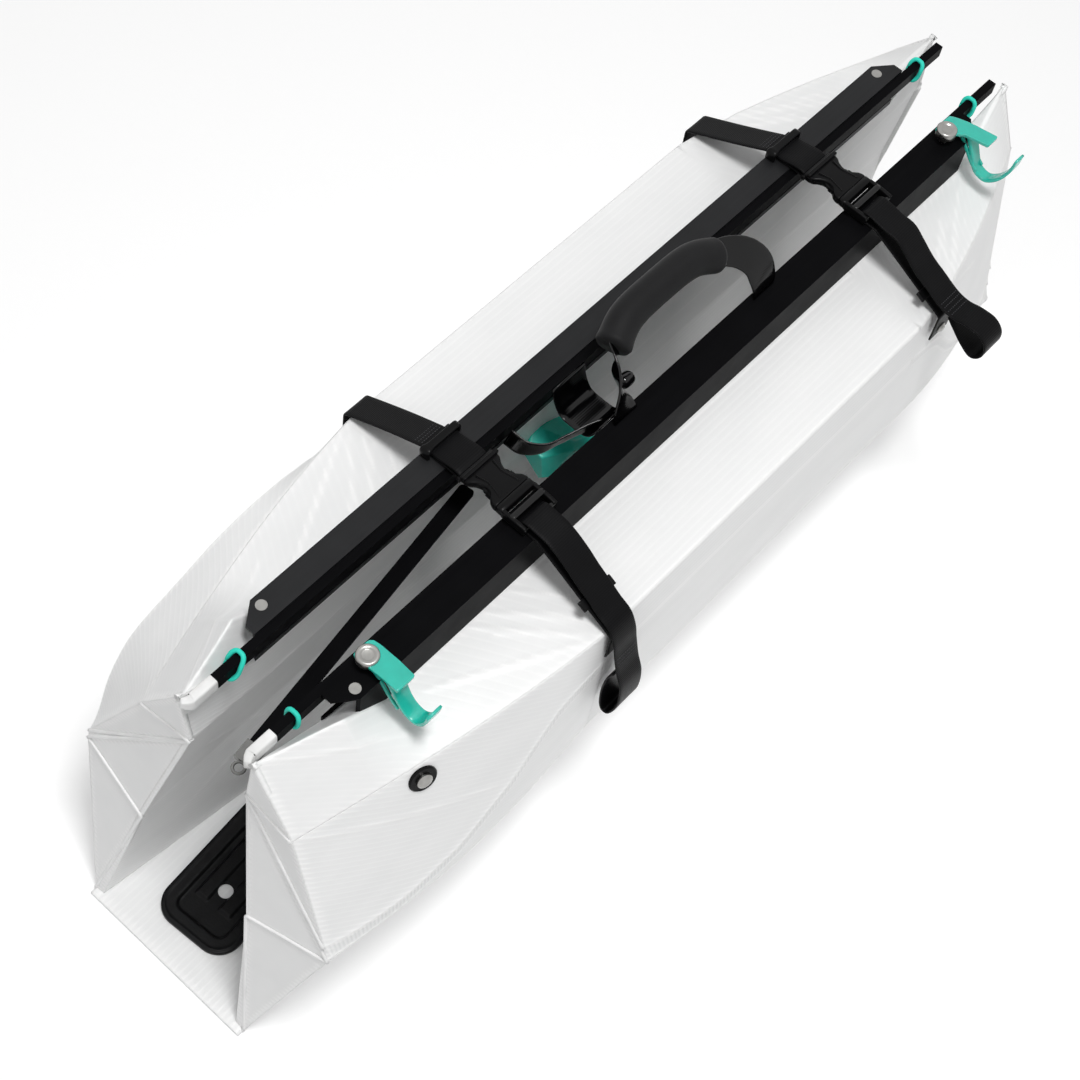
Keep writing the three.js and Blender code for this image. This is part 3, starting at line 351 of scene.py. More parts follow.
def moulded(name, colour, roughness, grain_size=900.0, depth=0.00005, shine=0.28):
    """Moulded plastic with a fine spark texture and faint colour drift."""
    material, tree, shader = new_finish(name, colour, roughness, Specular_IOR_Level=shine)
    where = place(tree)
    grain = noise(tree, where, grain_size, 2, 0.5)
    cloud = noise(tree, where, 40, 3, 0.5)
    tint(tree, shader, cloud, colour, 0.75, 1.35)
    rough = mathed(tree, "MULTIPLY_ADD", cloud, 0.16, roughness - 0.08)
    tree.links.new(rough, shader.inputs["Roughness"])
    raise_surface(tree, shader, grain, depth)
    return material


def woven(name, colour, roughness, sheen, shine, depth=0.00012):
    """Webbing: ribs across the strip each 1.9 mm, crossed by warp yarns each 1.1 mm, on the strip's own map."""
    material, tree, shader = new_finish(name, colour, roughness, Sheen_Weight=sheen, Sheen_Roughness=0.35,
                                        Specular_IOR_Level=shine)
    uv = add_node(tree, "ShaderNodeUVMap", uv_map="flat").outputs["UV"]
    split = add_node(tree, "ShaderNodeSeparateXYZ", inputs={"Vector": uv}).outputs
    ribs = wave(tree, split["X"], 0.0019)
    yarns = wave(tree, mathed(tree, "MULTIPLY_ADD", split["X"], 0.35, split["Y"]), 0.0011)
    height = mathed(tree, "MULTIPLY", ribs, mathed(tree, "MULTIPLY_ADD", yarns, 0.6, 0.4))
    wear = noise(tree, place(tree), 60, 3, 0.6)
    tone = mathed(tree, "MULTIPLY_ADD", height, 0.5, mathed(tree, "MULTIPLY", wear, 0.5))
    tint(tree, shader, tone, colour, 0.5, 1.8)
    raise_surface(tree, shader, height, depth)
    return material


def foam_finish(name, colour):
    """Closed-cell foam rubber: fine pores and a soft, dusty sheen."""
    material, tree, shader = new_finish(name, colour, 0.6, Sheen_Weight=0.04, Sheen_Roughness=0.5,
                                        Specular_IOR_Level=0.14)
    where = place(tree)
    pores = add_node(tree, "ShaderNodeTexVoronoi", {"Scale": 1500.0}, {"Vector": where}).outputs["Distance"]
    cloud = noise(tree, where, 45, 4, 0.6)
    tint(tree, shader, cloud, colour, 0.7, 1.5)
    raise_surface(tree, shader, pores, 0.00015, 0.5)
    return material


def clear_teal(name, colour, roughness, through_light):
    """Tinted, cloudy plastic that lets some light through."""
    material, tree, shader = new_finish(name, colour, roughness, Subsurface_Weight=through_light,
                                        Subsurface_Scale=0.004, Coat_Weight=0.3, Coat_Roughness=0.1)
    shader.inputs["Subsurface Radius"].default_value = (0.3, 1.0, 0.85)
    where = place(tree)
    cloud = noise(tree, where, 70, 3, 0.55)
    flow = noise(tree, where, 35, 2, 0.5, (0.4, 1, 1))
    tint(tree, shader, cloud, colour, 0.82, 1.15)
    raise_surface(tree, shader, flow, 0.0004, 0.5)
    return material


def bright_metal(name, colour, roughness):
    """Plated steel with turned marks and light pitting."""
    material, tree, shader = new_finish(name, colour, roughness, Metallic=1.0)
    where = place(tree)
    marks = noise(tree, where, 700, 2, 0.5)
    cloud = noise(tree, where, 120, 3, 0.6)
    tint(tree, shader, cloud, colour, 0.75, 1.1)
    rough = mathed(tree, "MULTIPLY_ADD", cloud, 0.2, roughness - 0.1)
    tree.links.new(rough, shader.inputs["Roughness"])
    raise_surface(tree, shader, marks, 0.00003, 0.6)
    return material


SHEET_WHITE = sheet_finish("fluted_sheet")
SHEET_WELT = moulded("sheet_welt", (0.96, 0.96, 0.955), 0.4, 900.0, 0.00002, 0.4)
# The left rail's finish is the black rail colour made about three times paler, with more shine: painted light on a rail
# that is as black as the right one.
RAIL_LEFT_PAINTED_LIT = anodised("rail_painted_lit", (0.010, 0.0102, 0.011), 0.42, 0.16)
RAIL_RIGHT = anodised("rail_black", (0.003, 0.003, 0.0034), 0.36, 0.015)
WEBBING_BLACK = woven("webbing_black", (0.0035, 0.0035, 0.0039), 0.42, 0.0, 0.07)
WEBBING_GLOSS = woven("webbing_gloss", (0.001, 0.001, 0.0012), 0.1, 0.0, 0.3, 0.00002)
MOULDED_BLACK = moulded("moulded_black", (0.0035, 0.0035, 0.0038), 0.3, shine=0.1)
TRAY_BLACK = moulded("tray_black", (0.004, 0.004, 0.0044), 0.36, 500.0, 0.00012, 0.14)
FOAM_BLACK = foam_finish("foam_black", (0.0065, 0.0065, 0.007))
HOOK_TEAL = clear_teal("hook_teal", (0.018, 0.50, 0.40), 0.25, 0.4)
BAG_TEAL = clear_teal("bag_teal", (0.03, 0.62, 0.50), 0.2, 0.4)
CORD_TEAL = moulded("cord_teal", (0.03, 0.68, 0.53), 0.5, 1400.0, 0.0002)
GLOSS_BLACK = moulded("gloss_black", (0.003, 0.003, 0.0033), 0.12, shine=0.3)
STEEL = bright_metal("plated_steel", (0.36, 0.355, 0.34), 0.3)
STEEL_DARK = bright_metal("dull_steel", (0.16, 0.16, 0.155), 0.4)
SLEEVE_WHITE = moulded("sleeve_white", (0.82, 0.82, 0.80), 0.4)
STITCH_GREY = moulded("stitch_grey", (0.03, 0.03, 0.033), 0.6)


# Hull wings

WAIST = (60, 150)
KNEE = (46, 230)
HIP = (138.5, 262)
BELLY = (138, 140)
RIDGE = (135, SHOULDER)
BELLY_BULGE = 11
FLOOR_HALF = 88.0
FOOT_HALF = 46.0
# The left wing's near hip, as distances from the near end and heights.
LEFT_HIP = np.array([(52, 168), (58, 172), (68, 190), (76, 213), (89, 231), (103, 244), (120, 254), (139, 261),
                     (158, 268), (177, 276), (196, 283), (217, 288), (239, 291), (265, 291), (300, 286), (340, 262)],
                    float)
NEAR_TOWER = dict(length=340, tip=(68, 36.5, 348), ridge=(65, 78, 281), belly=(49, 132, 163), knee=(68, 29, 284),
                  waist=(36, 58, 148), rail=138, lift=37)
FAR_TOWER = dict(length=315, tip=(78, 39, 348), ridge=(75, 68, 283), belly=(114, 113, 160), knee=(76, 36, 286),
                 waist=(40, 60, 148), rail=136, lift=0)
HIP_RISE = (0.12, 0.12, 0.12, 0.13, 0.2, 0.4, 0.71)
HIP_SWELL = (0, 0.5, 0.8, 1, 1, 1, 1)
TOWER_STATIONS = 150
FOLDS = ("sill", "belly", "hip", "ridge", "seat", "crown", "knee", "waist", "foot")
PANELS = {"side_panel": (0, 3), "shoulder_panel": (3, 5), "inner_wall": (5, 8)}


def mix(a, b, t):
    return a + (b - a) * t


def tower_folds(tower, s, hip_row=None):
    """The fold lines of a tapered end. s goes from 0 at its tip to 1 where the full section starts, and each fold
    runs from its own end spot to its place in the full section. Places across and up ease in with
    (s + sin(s pi/2)) / 2, the belly swells by 11 sin(pi s), and the crown rises to the tip before the rail. The
    seat is drawn up beside the rail's end by the lift, which fades out over 46 mm."""
    ease = (s + np.sin(s * np.pi / 2)) / 2
    rail = (tower["rail"] - tower["tip"][0]) / (tower["length"] - tower["tip"][0])
    rise = np.clip(1 - s / rail, 0, 1)
    stations = np.r_[np.array([0, 0.34, 0.68, 1]) * rail, mix(rail, 1, np.array([0.25, 0.5, 0.75])), 1]
    along = lambda spot: mix(spot, tower["length"], s)
    crown = (along(tower["tip"][0]), mix(VALLEY, tower["tip"][1], rise), mix(SHOULDER, tower["tip"][2], rise))
    belly = lambda t: (mix(tower["belly"][0], tower["length"], t),
                       mix(tower["belly"][1], BELLY[0], t) + BELLY_BULGE * np.sin(np.pi * t),
                       mix(tower["belly"][2], BELLY[1], t))
    ridge = lambda t: (mix(tower["ridge"][0], tower["length"], t),
                       *(mix(tower["ridge"][k], RIDGE[k - 1], (t + np.sin(t * np.pi / 2)) / 2) for k in (1, 2)))
    low, high = np.stack(belly(stations[:-1]), 1), np.stack(ridge(stations[:-1]), 1)
    high[:, 1] = mix(high[:, 1], HIP[0], np.array(HIP_SWELL))
    hips = np.concatenate([mix(low, high, np.array(HIP_RISE)[:, None]), [[tower["length"], *HIP]]])
    rows = {
        "sill": (along(0), FLOOR_HALF + 0 * s, 4.5 + 0 * s),
        "belly": belly(s),
        "hip": tuple(np.interp(s, stations, hips[:, k]) for k in range(3)) if hip_row is None else (
            mix(hip_row[0, 0], tower["length"], s), np.minimum(133 + 30 * s, HIP[0]),
            np.interp(mix(hip_row[0, 0], tower["length"], s), *hip_row.T)),
        "ridge": ridge(s),
        "seat": (crown[0], mix(RAIL_OUTER + 0.6, crown[1], rise), np.maximum(
            crown[2], SHOULDER + tower["lift"] * np.clip(1 - (crown[0] - tower["rail"]) / 46, 0, 1))),
        "crown": crown,
        "knee": (along(tower["knee"][0]), mix(tower["knee"][1], KNEE[0], ease), mix(tower["knee"][2], KNEE[1], ease)),
        "waist": (along(tower["waist"][0]), mix(tower["waist"][1], WAIST[0], ease),
                  mix(tower["waist"][2], WAIST[1], s)),
        "foot": (along(0), mix(FLOOR_HALF - 2.3 * SHEET, FOOT_HALF, ease), 4.9 + 0 * s),
    }
    return np.stack([np.stack(rows[fold], 1) for fold in FOLDS], 1)


def wing_folds(side):
    """All fold lines of a wing, as stations x folds x 3, closely spaced in the towers. The left wing is fuller: its
    near hip runs high and its far ridge ends higher."""
    fine = np.linspace(0, 1, TOWER_STATIONS)
    near = tower_folds(NEAR_TOWER, fine, LEFT_HIP if side > 0 else None)
    far = tower_folds(dict(FAR_TOWER, ridge=(75, 71, 304)) if side > 0 else FAR_TOWER, fine)
    far[..., 0] = HULL_LENGTH - far[..., 0]
    t = np.linspace(0, 1, 62)[1:-1, None, None]
    middle = mix(near[-1][None], far[-1][None], t)
    return np.concatenate([near, middle, far[::-1]])


def soften(lines, passes):
    """Rounds transverse creases: each station is averaged with its neighbours, a few times over. passes holds a
    number for each fold."""
    for k, times in enumerate(passes):
        for _ in range(times):
            lines[1:-1, k] = (lines[:-2, k] + 2 * lines[1:-1, k] + lines[2:, k]) / 4
    return lines


def section_grid(lines, first, last, radius, step):
    """Points across each station from one fold to another: straight between folds, with each fold rounded by a
    quadratic curve that starts and ends radius away from it. Also each point's share of a fold."""
    columns, nearness = [], []
    turn = np.linspace(0, 1, 7)
    for k in range(first, last + 1):
        corner = lines[:, k]
        back = lines[:, max(k - 1, 0)] - corner
        on = lines[:, min(k + 1, lines.shape[1] - 1)] - corner
        cap = lambda way: np.minimum(radius, np.linalg.norm(way, axis=1, keepdims=True) * 0.45)
        start, end = corner + unit(back) * cap(back), corner + unit(on) * cap(on)
        if k == 0:
            start = corner
        if k == lines.shape[1] - 1:
            end = corner
        low, high = (0.5 if k == first else 0.0), (0.5 if k == last else 1.0)
        if k in (0, lines.shape[1] - 1):
            low, high = 0.0, 1.0
        for t in turn[(turn >= low) & (turn <= high)]:
            columns.append((1 - t) ** 2 * start + 2 * t * (1 - t) * corner + t ** 2 * end)
            nearness.append(1 - abs(2 * t - 1) * 0.6)
        if k < last:
            following = lines[:, k + 1]
            ahead = following + unit(corner - following) * np.minimum(
                radius, np.linalg.norm(corner - following, axis=1, keepdims=True) * 0.45)
            count = max(2, int(np.linalg.norm(ahead - end, axis=1).max() / step))
            for t in np.linspace(0, 1, count + 1)[1:-1]:
                columns.append(mix(end, ahead, t))
                nearness.append(0.4 * max(np.exp(-t * count * step / 3), np.exp(-(1 - t) * count * step / 3)))
    grid = np.stack(columns, 1)
    return grid, np.broadcast_to(np.array(nearness), grid.shape[:2])


CREASES = {
    "near": [
        ((282, 53, 307), (338, 118, 307)), ((307, 51, 307), (348, 102, 307)), ((265, 53, 307), (329, 128, 307)),
        ((205, 68, 306), (328, 132, 306)), ((223, 76, 305), (301, 118, 305)), ((277, 74, 306), (300, 93, 306)),
        ((294, 67, 307), (336, 108, 307)), ((68, 40, 346), (205, 96, 296)), ((65, 78, 281), (230, 139, 216)),
    ],
    "far": [
        ((802, 125, 300), (857, 72, 305)), ((802, 125, 300), (901, 63, 305)), ((802, 125, 300), (953, 45, 328)),
        ((816, 98, 304), (978, 43, 340)), ((790, 118, 306), (850, 79, 304)), ((802, 125, 300), (877, 113, 259)),
        ((862, 97, 300), (982, 39, 346)),
    ],
}
INNER_CREASES = [((93, 46, 207), (173, 59, 127)), ((173, 59, 127), (60, 52, 60)), ((624, 60, 150), (776, 51, 150)),
                 ((120, 38, 262), (420, 47, 236)), ((300, 60, 140), (640, 47, 30))]
CREASE_HEIGHT = 0.55
FOLD_REACH = 4.0
RIM_COVER = 0.3
WELT_RADIUS = 1.6
CREASE_WIDTH = 2.0
SLANT = np.array([-0.530, 0.262, -0.807]) * 5.7 / 4.7


def surface_normals(grid):
    """The cross product of the grid's steps round the section and along the hull, made a unit vector."""
    return unit(np.cross(np.gradient(grid, axis=1), np.gradient(grid, axis=0)))


def crease_share(grid, normal, segments, width):
    """How near a point is to a crease: the sum of exp(-(gap / width)^2) over the segments, where the gap leaves out
    the part along the normal, and fades where that part is large."""
    total = np.zeros(grid.shape[:2])
    for start, end in segments:
        start, end = np.array(start, float), np.array(end, float)
        way = end - start
        t = np.clip((grid - start) @ way / (way @ way), 0, 1)
        gap = grid - (start + t[..., None] * way)
        off = np.sum(gap * normal, -1)
        flat = np.linalg.norm(gap - off[..., None] * normal, axis=-1)
        taper = np.clip(np.minimum(t, 1 - t) * 12, 0.15, 1)
        total += taper * np.exp(-(flat / width) ** 2) * np.exp(-(off / 14) ** 2)
    return np.clip(total, 0, 1)


def closed_shell(outer, inner, marks):
    """An outer and an inner face, joined by rims on all four sides. marks are numbers for each outer point."""
    both = np.concatenate([outer, inner[:, ::-1]], 1)
    both = np.concatenate([np.concatenate([outer[:1], outer[:1, ::-1]], 1), both,
                           np.concatenate([outer[-1:], outer[-1:, ::-1]], 1)])
    spread = {}
    for key, values in marks.items():
        values = np.concatenate([values, values[:, ::-1]], 1)
        spread[key] = np.concatenate([values[:1], values, values[-1:]]).reshape(-1)
    return both, spread


def wing_panel(side, side_name, panel, lines):
    """One panel of a wing: the section grid between its folds, with creases raised along its normals, made a sheet
    of even thickness. On the tapered ends' outer faces the flutes run aslant, and elsewhere along the hull."""
    first, last = PANELS[panel]
    grid, fold = section_grid(lines, first, last, 2.6, 2.4 if panel != "inner_wall" else 4.0)
    normal = surface_normals(grid)
    crease = np.zeros(grid.shape[:2])
    if panel != "inner_wall":
        for segments in CREASES.values():
            crease = np.maximum(crease, crease_share(grid, normal, segments, CREASE_WIDTH))
    else:
        crease = crease_share(grid, normal, INNER_CREASES, CREASE_WIDTH * 1.3)
    grid = grid + normal * (crease * CREASE_HEIGHT)[..., None]
    ends = [np.exp(-(np.linalg.norm(grid - grid[k:k + 1], axis=2) / 6) ** 2) for k in (0, len(grid) - 1)]
    fold = np.clip(np.maximum(np.maximum(fold, crease * 0.6), np.maximum(*ends)), 0, 1)
    around = np.concatenate([np.zeros((len(grid), 1)), np.cumsum(np.linalg.norm(np.diff(grid, axis=1), axis=2), 1)], 1)
    near_end, far_end = NEAR_TOWER["length"], HULL_LENGTH - FAR_TOWER["length"]
    x = grid[..., 0]
    flute, rib, seam = around.copy(), np.ones(grid.shape[:2]), np.zeros(grid.shape[:2])
    if panel != "inner_wall":
        mirrored = np.where(x[..., None] > HULL_LENGTH / 2, [HULL_LENGTH, 0, 0] - grid * [1, -1, -1], grid)
        aslant = (x < near_end) | (x > far_end)
        flute = np.where(aslant, mirrored @ SLANT, around)
        rib = 1 - np.exp(-((x - near_end) / 3) ** 2) - np.exp(-((x - far_end) / 3) ** 2)
        rib = rib * np.where(aslant, 0.35 if panel == "shoulder_panel" else 0.7, 1)
        hip = lines[:, 2:3]
        below = np.linalg.norm(grid - hip, axis=2) * np.sign(grid[..., 2] - hip[..., 2])
        in_tower = np.clip((near_end - x) / 6, 0, 1) + np.clip((x - far_end) / 6, 0, 1)
        band = np.exp(-((below + 6) / 6) ** 4) * in_tower
        if panel == "side_panel":
            seam = band
            rim = np.exp(-((np.abs(below + 6) - 7) / 1.2) ** 2) * in_tower
            fold = np.maximum(fold, rim * 0.8)
            rib = rib * (1 - band)
            grid = grid + normal * (rim * 0.5 + band * 0.25)[..., None]
    marks = {"flute": flute * 0.001, "rib": rib, "fold": fold, "seam": seam}
    closed, marks = closed_shell(grid, grid - surface_normals(grid) * SHEET, marks)
    rows, columns = closed.shape[:2]
    length = np.concatenate([around, around[:, ::-1]], 1)
    length = np.concatenate([length[:1], length, length[-1:]])
    uv = np.stack([closed[..., 0], length], -1).reshape(-1, 2) * 0.001
    piece = make_piece(f"{side_name}_{panel}_sheet", closed.reshape(-1, 3) * [1, side, 1],
                       grid_quads(rows, columns, wrap=True), SHEET_WHITE, f"{side_name}_wing", uv=uv, marks=marks)
    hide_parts(f"{side_name}_{panel}")


def gusset(side, side_name, where, station):
    """An end face: a fan of flat faces between the folds' ends, made a sheet of even thickness. A face is the
    weighted mean of its corners. Its folds are marked by exp(-(gap / 4 mm)^2) from its edges, its outer side stands
    0.3 mm out to cover the panels' rims, and thin welts run along the folds between faces."""
    spot = {fold: station[k] for k, fold in enumerate(FOLDS)}
    order = [("sill", "foot", "waist"), ("sill", "waist", "belly"), ("waist", "knee", "belly"),
             ("belly", "knee", "hip"), ("hip", "knee", "ridge"), ("ridge", "knee", "crown")]
    inwards = 1 if where == "near" else -1
    points, quads, folds, uvs = [], [], [], []
    n = 40
    for a, b, c in order:
        corner = np.array([spot[a], spot[b], spot[c]])
        normal = unit(np.cross(corner[1] - corner[0], corner[2] - corner[0]))
        normal = normal if normal[0] * inwards < 0 else -normal
        u, v = np.meshgrid(np.linspace(0, 1, n), np.linspace(0, 1, n), indexing="ij")
        grid = (1 - u)[..., None] * corner[0] + (u * (1 - v))[..., None] * corner[1] + (u * v)[..., None] * corner[2]
        heights = [np.linalg.norm(np.cross(corner[(k + 1) % 3] - corner[k], corner[(k + 2) % 3] - corner[k]))
                   / np.linalg.norm(corner[(k + 2) % 3] - corner[(k + 1) % 3]) for k in range(3)]
        gap = np.stack([(1 - u) * heights[0], u * (1 - v) * heights[1], u * v * heights[2]], -1).min(-1)
        fold = np.exp(-(gap / FOLD_REACH) ** 2)
        both, marks = closed_shell(grid + normal * RIM_COVER, grid - normal * SHEET, {"fold": fold})
        offset = sum(len(p) for p in points)
        rows, columns = both.shape[:2]
        points.append(both.reshape(-1, 3) * [1, side, 1])
        quads.append(grid_quads(rows, columns, wrap=True) + offset)
        folds.append(marks["fold"])
        uvs.append(both.reshape(-1, 3)[:, [1, 2]] * 0.001)
    points, folds = np.concatenate(points), np.concatenate(folds)
    marks = {"flute": points[:, 2] * 1.1e-3, "rib": np.zeros(len(points)), "fold": folds, "seam": np.zeros(len(points))}
    piece = make_piece(f"{side_name}_{where}_gusset_sheet", points, np.concatenate(quads), SHEET_WHITE,
                       f"{side_name}_wing", uv=np.concatenate(uvs), marks=marks)
    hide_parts(f"{side_name}_{where}_gusset")
    for number, stroke in enumerate((("sill", "waist", "belly", "knee", "ridge"), ("knee", "hip"))):
        path = resample([spot[fold] * [1, side, 1] - [0.4 * inwards, 0, 0] for fold in stroke], 3)
        welt = sweep(f"{side_name}_{where}_gusset_welt_{number}", path, (1, 0, 0), round_profile(WELT_RADIUS),
                     SHEET_WELT, f"{side_name}_wing")


for side, side_name in ((1, "left"), (-1, "right")):
    wing_lines = soften(wing_folds(side), (0, 30, 30 if side < 0 else 8, 4, 0, 0, 4, 4, 4))
    for panel in PANELS:
        wing_panel(side, side_name, panel, wing_lines)
    gusset(side, side_name, "near", wing_lines[0])
    gusset(side, side_name, "far", wing_lines[-1])


# Floor

low, high = (from_frame(c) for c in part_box("floor_panel"))
x, y = np.meshgrid(np.r_[low[0], np.linspace(low[0] + 0.6, high[0] - 0.6, 400), high[0]],
                   np.linspace(low[1], high[1], 60), indexing="ij")
inset = np.minimum(np.minimum(x - low[0], high[0] - x), np.minimum(y - low[1], high[1] - y))
top = high[2] - 0.5 * np.clip(1 - inset / 2.5, 0, 1) ** 2
marks = {"flute": y * 0.001, "rib": 1 - np.exp(-(inset / 4) ** 2), "fold": np.exp(-(inset / 6) ** 2), "seam": 0 * x}
closed, marks = closed_shell(np.stack([x, y, top], -1), np.stack([x, y, 0 * x + low[2]], -1), marks)
piece = make_piece("floor_panel_sheet", closed.reshape(-1, 3), grid_quads(*closed.shape[:2], wrap=True), SHEET_WHITE,
                   "floor", uv=closed.reshape(-1, 3)[:, :2] * 0.001, marks=marks)
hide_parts("floor_panel")


# Foot plate

PLATE = dict(length=160, width=80, radius=22, turn=np.radians(4.5), start=21)
low, high = (from_frame(c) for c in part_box("foot_plate"))
plate_centre = (low + high) / 2


def plate_outline(count):
    """A rounded rectangle as points at even angles: straight sides joined by quarter circles."""
    half = np.array([PLATE["length"], PLATE["width"]]) / 2 - PLATE["radius"]
    corners = [(1, 1, 0), (-1, 1, 1), (-1, -1, 2), (1, -1, 3)]
    quarter = np.linspace(0, np.pi / 2, 12)
    arcs = [np.stack([half[0] * a, half[1] * b]) + PLATE["radius"] * np.stack(
        [np.cos(quarter + q * np.pi / 2), np.sin(quarter + q * np.pi / 2)], 1) for a, b, q in corners]
    loop = resample(np.concatenate([*arcs, arcs[0][:1]]), 1.0)
    return loop[np.linspace(0, len(loop) - 1, count, endpoint=False).astype(int)]


def plate_height(x, y, inset):
    """Height over the floor: a flange 16 mm wide, a recess inside it and two long ribs, joined by smooth steps."""
    step = lambda gap, width: 1 / (1 + np.exp(-gap / width))
    recess = step(inset - 14, 0.45)
    rib = lambda middle: step(6.0 - np.abs(y - middle), 0.4) * step(x + 46, 0.5) * step(70 - x, 0.5)
    bead = np.exp(-((inset - 3.2) / 1.3) ** 2)
    return 4.3 - 3.2 * recess * (1 - 0.85 * np.maximum(rib(13.0), rib(-12.0))) + 0.7 * bead


count, rings = 320, 130
outline = plate_outline(count)
hole = np.array([-30.0, 0.5])
t = np.linspace(0, 1, rings)[:, None, None]
angle = np.arctan2(outline[:, 1] - hole[1], outline[:, 0] - hole[0])
inner_ring = hole + 6.5 * np.stack([np.cos(angle), np.sin(angle)], 1)
flat = mix(inner_ring[None], outline[None], t)
half = np.array([PLATE["length"], PLATE["width"]]) / 2 - PLATE["radius"]
beyond = np.abs(flat) - half
inset = PLATE["radius"] - (np.linalg.norm(np.maximum(beyond, 0), axis=-1) + np.minimum(beyond.max(-1), 0))
height = plate_height(flat[..., 0], flat[..., 1], inset)
height[-1] = 1.2
height[-2] = np.maximum(height[-2] - 0.6, 1.2)
turn = np.array([[np.cos(PLATE["turn"]), np.sin(PLATE["turn"])], [-np.sin(PLATE["turn"]), np.cos(PLATE["turn"])]])
spots = flat @ turn + plate_centre[:2]
top = np.concatenate([spots, 4.3 + height[..., None]], -1)
base = np.concatenate([spots, np.full((*height.shape, 1), 4.35)], -1)
shell = np.concatenate([top, base[::-1], top[:1]])
piece = make_piece("foot_plate_tray", shell.reshape(-1, 3), grid_quads(*shell.shape[:2], wrap=True), TRAY_BLACK,
                   "floor")
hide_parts("foot_plate")


# Carry straps

UPPER_LAYER = LOWER_LAYER + WEBBING / 2 + 0.3 + 3 + 0.3 + WEBBING / 2
SECOND_LAYER = LOWER_LAYER + WEBBING + 0.3
SLIDER_TOP = SECOND_LAYER + WEBBING / 2 + 0.3 + 2.6
WALL = 138.5 + 0.3 + WEBBING / 2
TAILS = {
    "near": [(69, 359), (86, 349.5), (100, 338.5), (112, 330.5), (124, 321.5), (136, 314.5), (143.4, 301),
             (147.5, 285), (153, 266), (160, 247), (161.5, 222), (156.5, 201), (150.5, 197), (146.5, 206), (145, 228),
             (147, 250), (151, 262)],
    "far": [(66, 359), (80, 357.5), (93, 348), (106, 338), (120, 330.5), (137, 321.5), (150, 319), (163, 321.5),
            (177, 321), (186, 312), (186, 299), (178, 291.5), (166, 298), (154, 309), (147, 316)],
}
STITCHED = {"near": [(148.6, 281), (149.8, 277), (151, 273)],
            "far": [(136, 321.5), (140, 321), (144, 320), (148, 319.5)]}
KEEPER_BAR = {"near": 112, "far": 119}


def strap_x(node):
    """The middle of a CAD webbing, in millimetres from the near end."""
    low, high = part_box(node)
    return (from_frame(low)[0] + from_frame(high)[0]) / 2


def strap_run(slot):
    """From the anchor on the side wall, up over the shoulder's edge and the rail, to the buckle's slot."""
    return [(WALL, SHOULDER - 30), (WALL, SHOULDER + 0.3 + WEBBING / 2), (RAIL_OUTER + 3, LOWER_LAYER),
            (slot, LOWER_LAYER), (slot, UPPER_LAYER)]


def lay_webbing(name, flat, x, side, material, node):
    """A strip of webbing along a path in the Y-Z plane, with a slow sideways drift of up to 0.6 mm."""
    path = resample(flat, 2.2)
    run = np.linspace(0, 1, len(path))
    drift = 0.6 * np.sin(run * 7.0 + x)
    points = np.stack([x + drift, side * path[:, 0], path[:, 1]], 1)
    piece = sweep(name, points, (1, 0, 0), flat_profile(WEBBING_WIDTH, WEBBING), material,
                  "left_wing" if side > 0 else "right_wing")
    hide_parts(node)


BUCKLE_TOP = 362.3
BUCKLE_FLOOR = LOWER_LAYER + WEBBING / 2 + 0.35


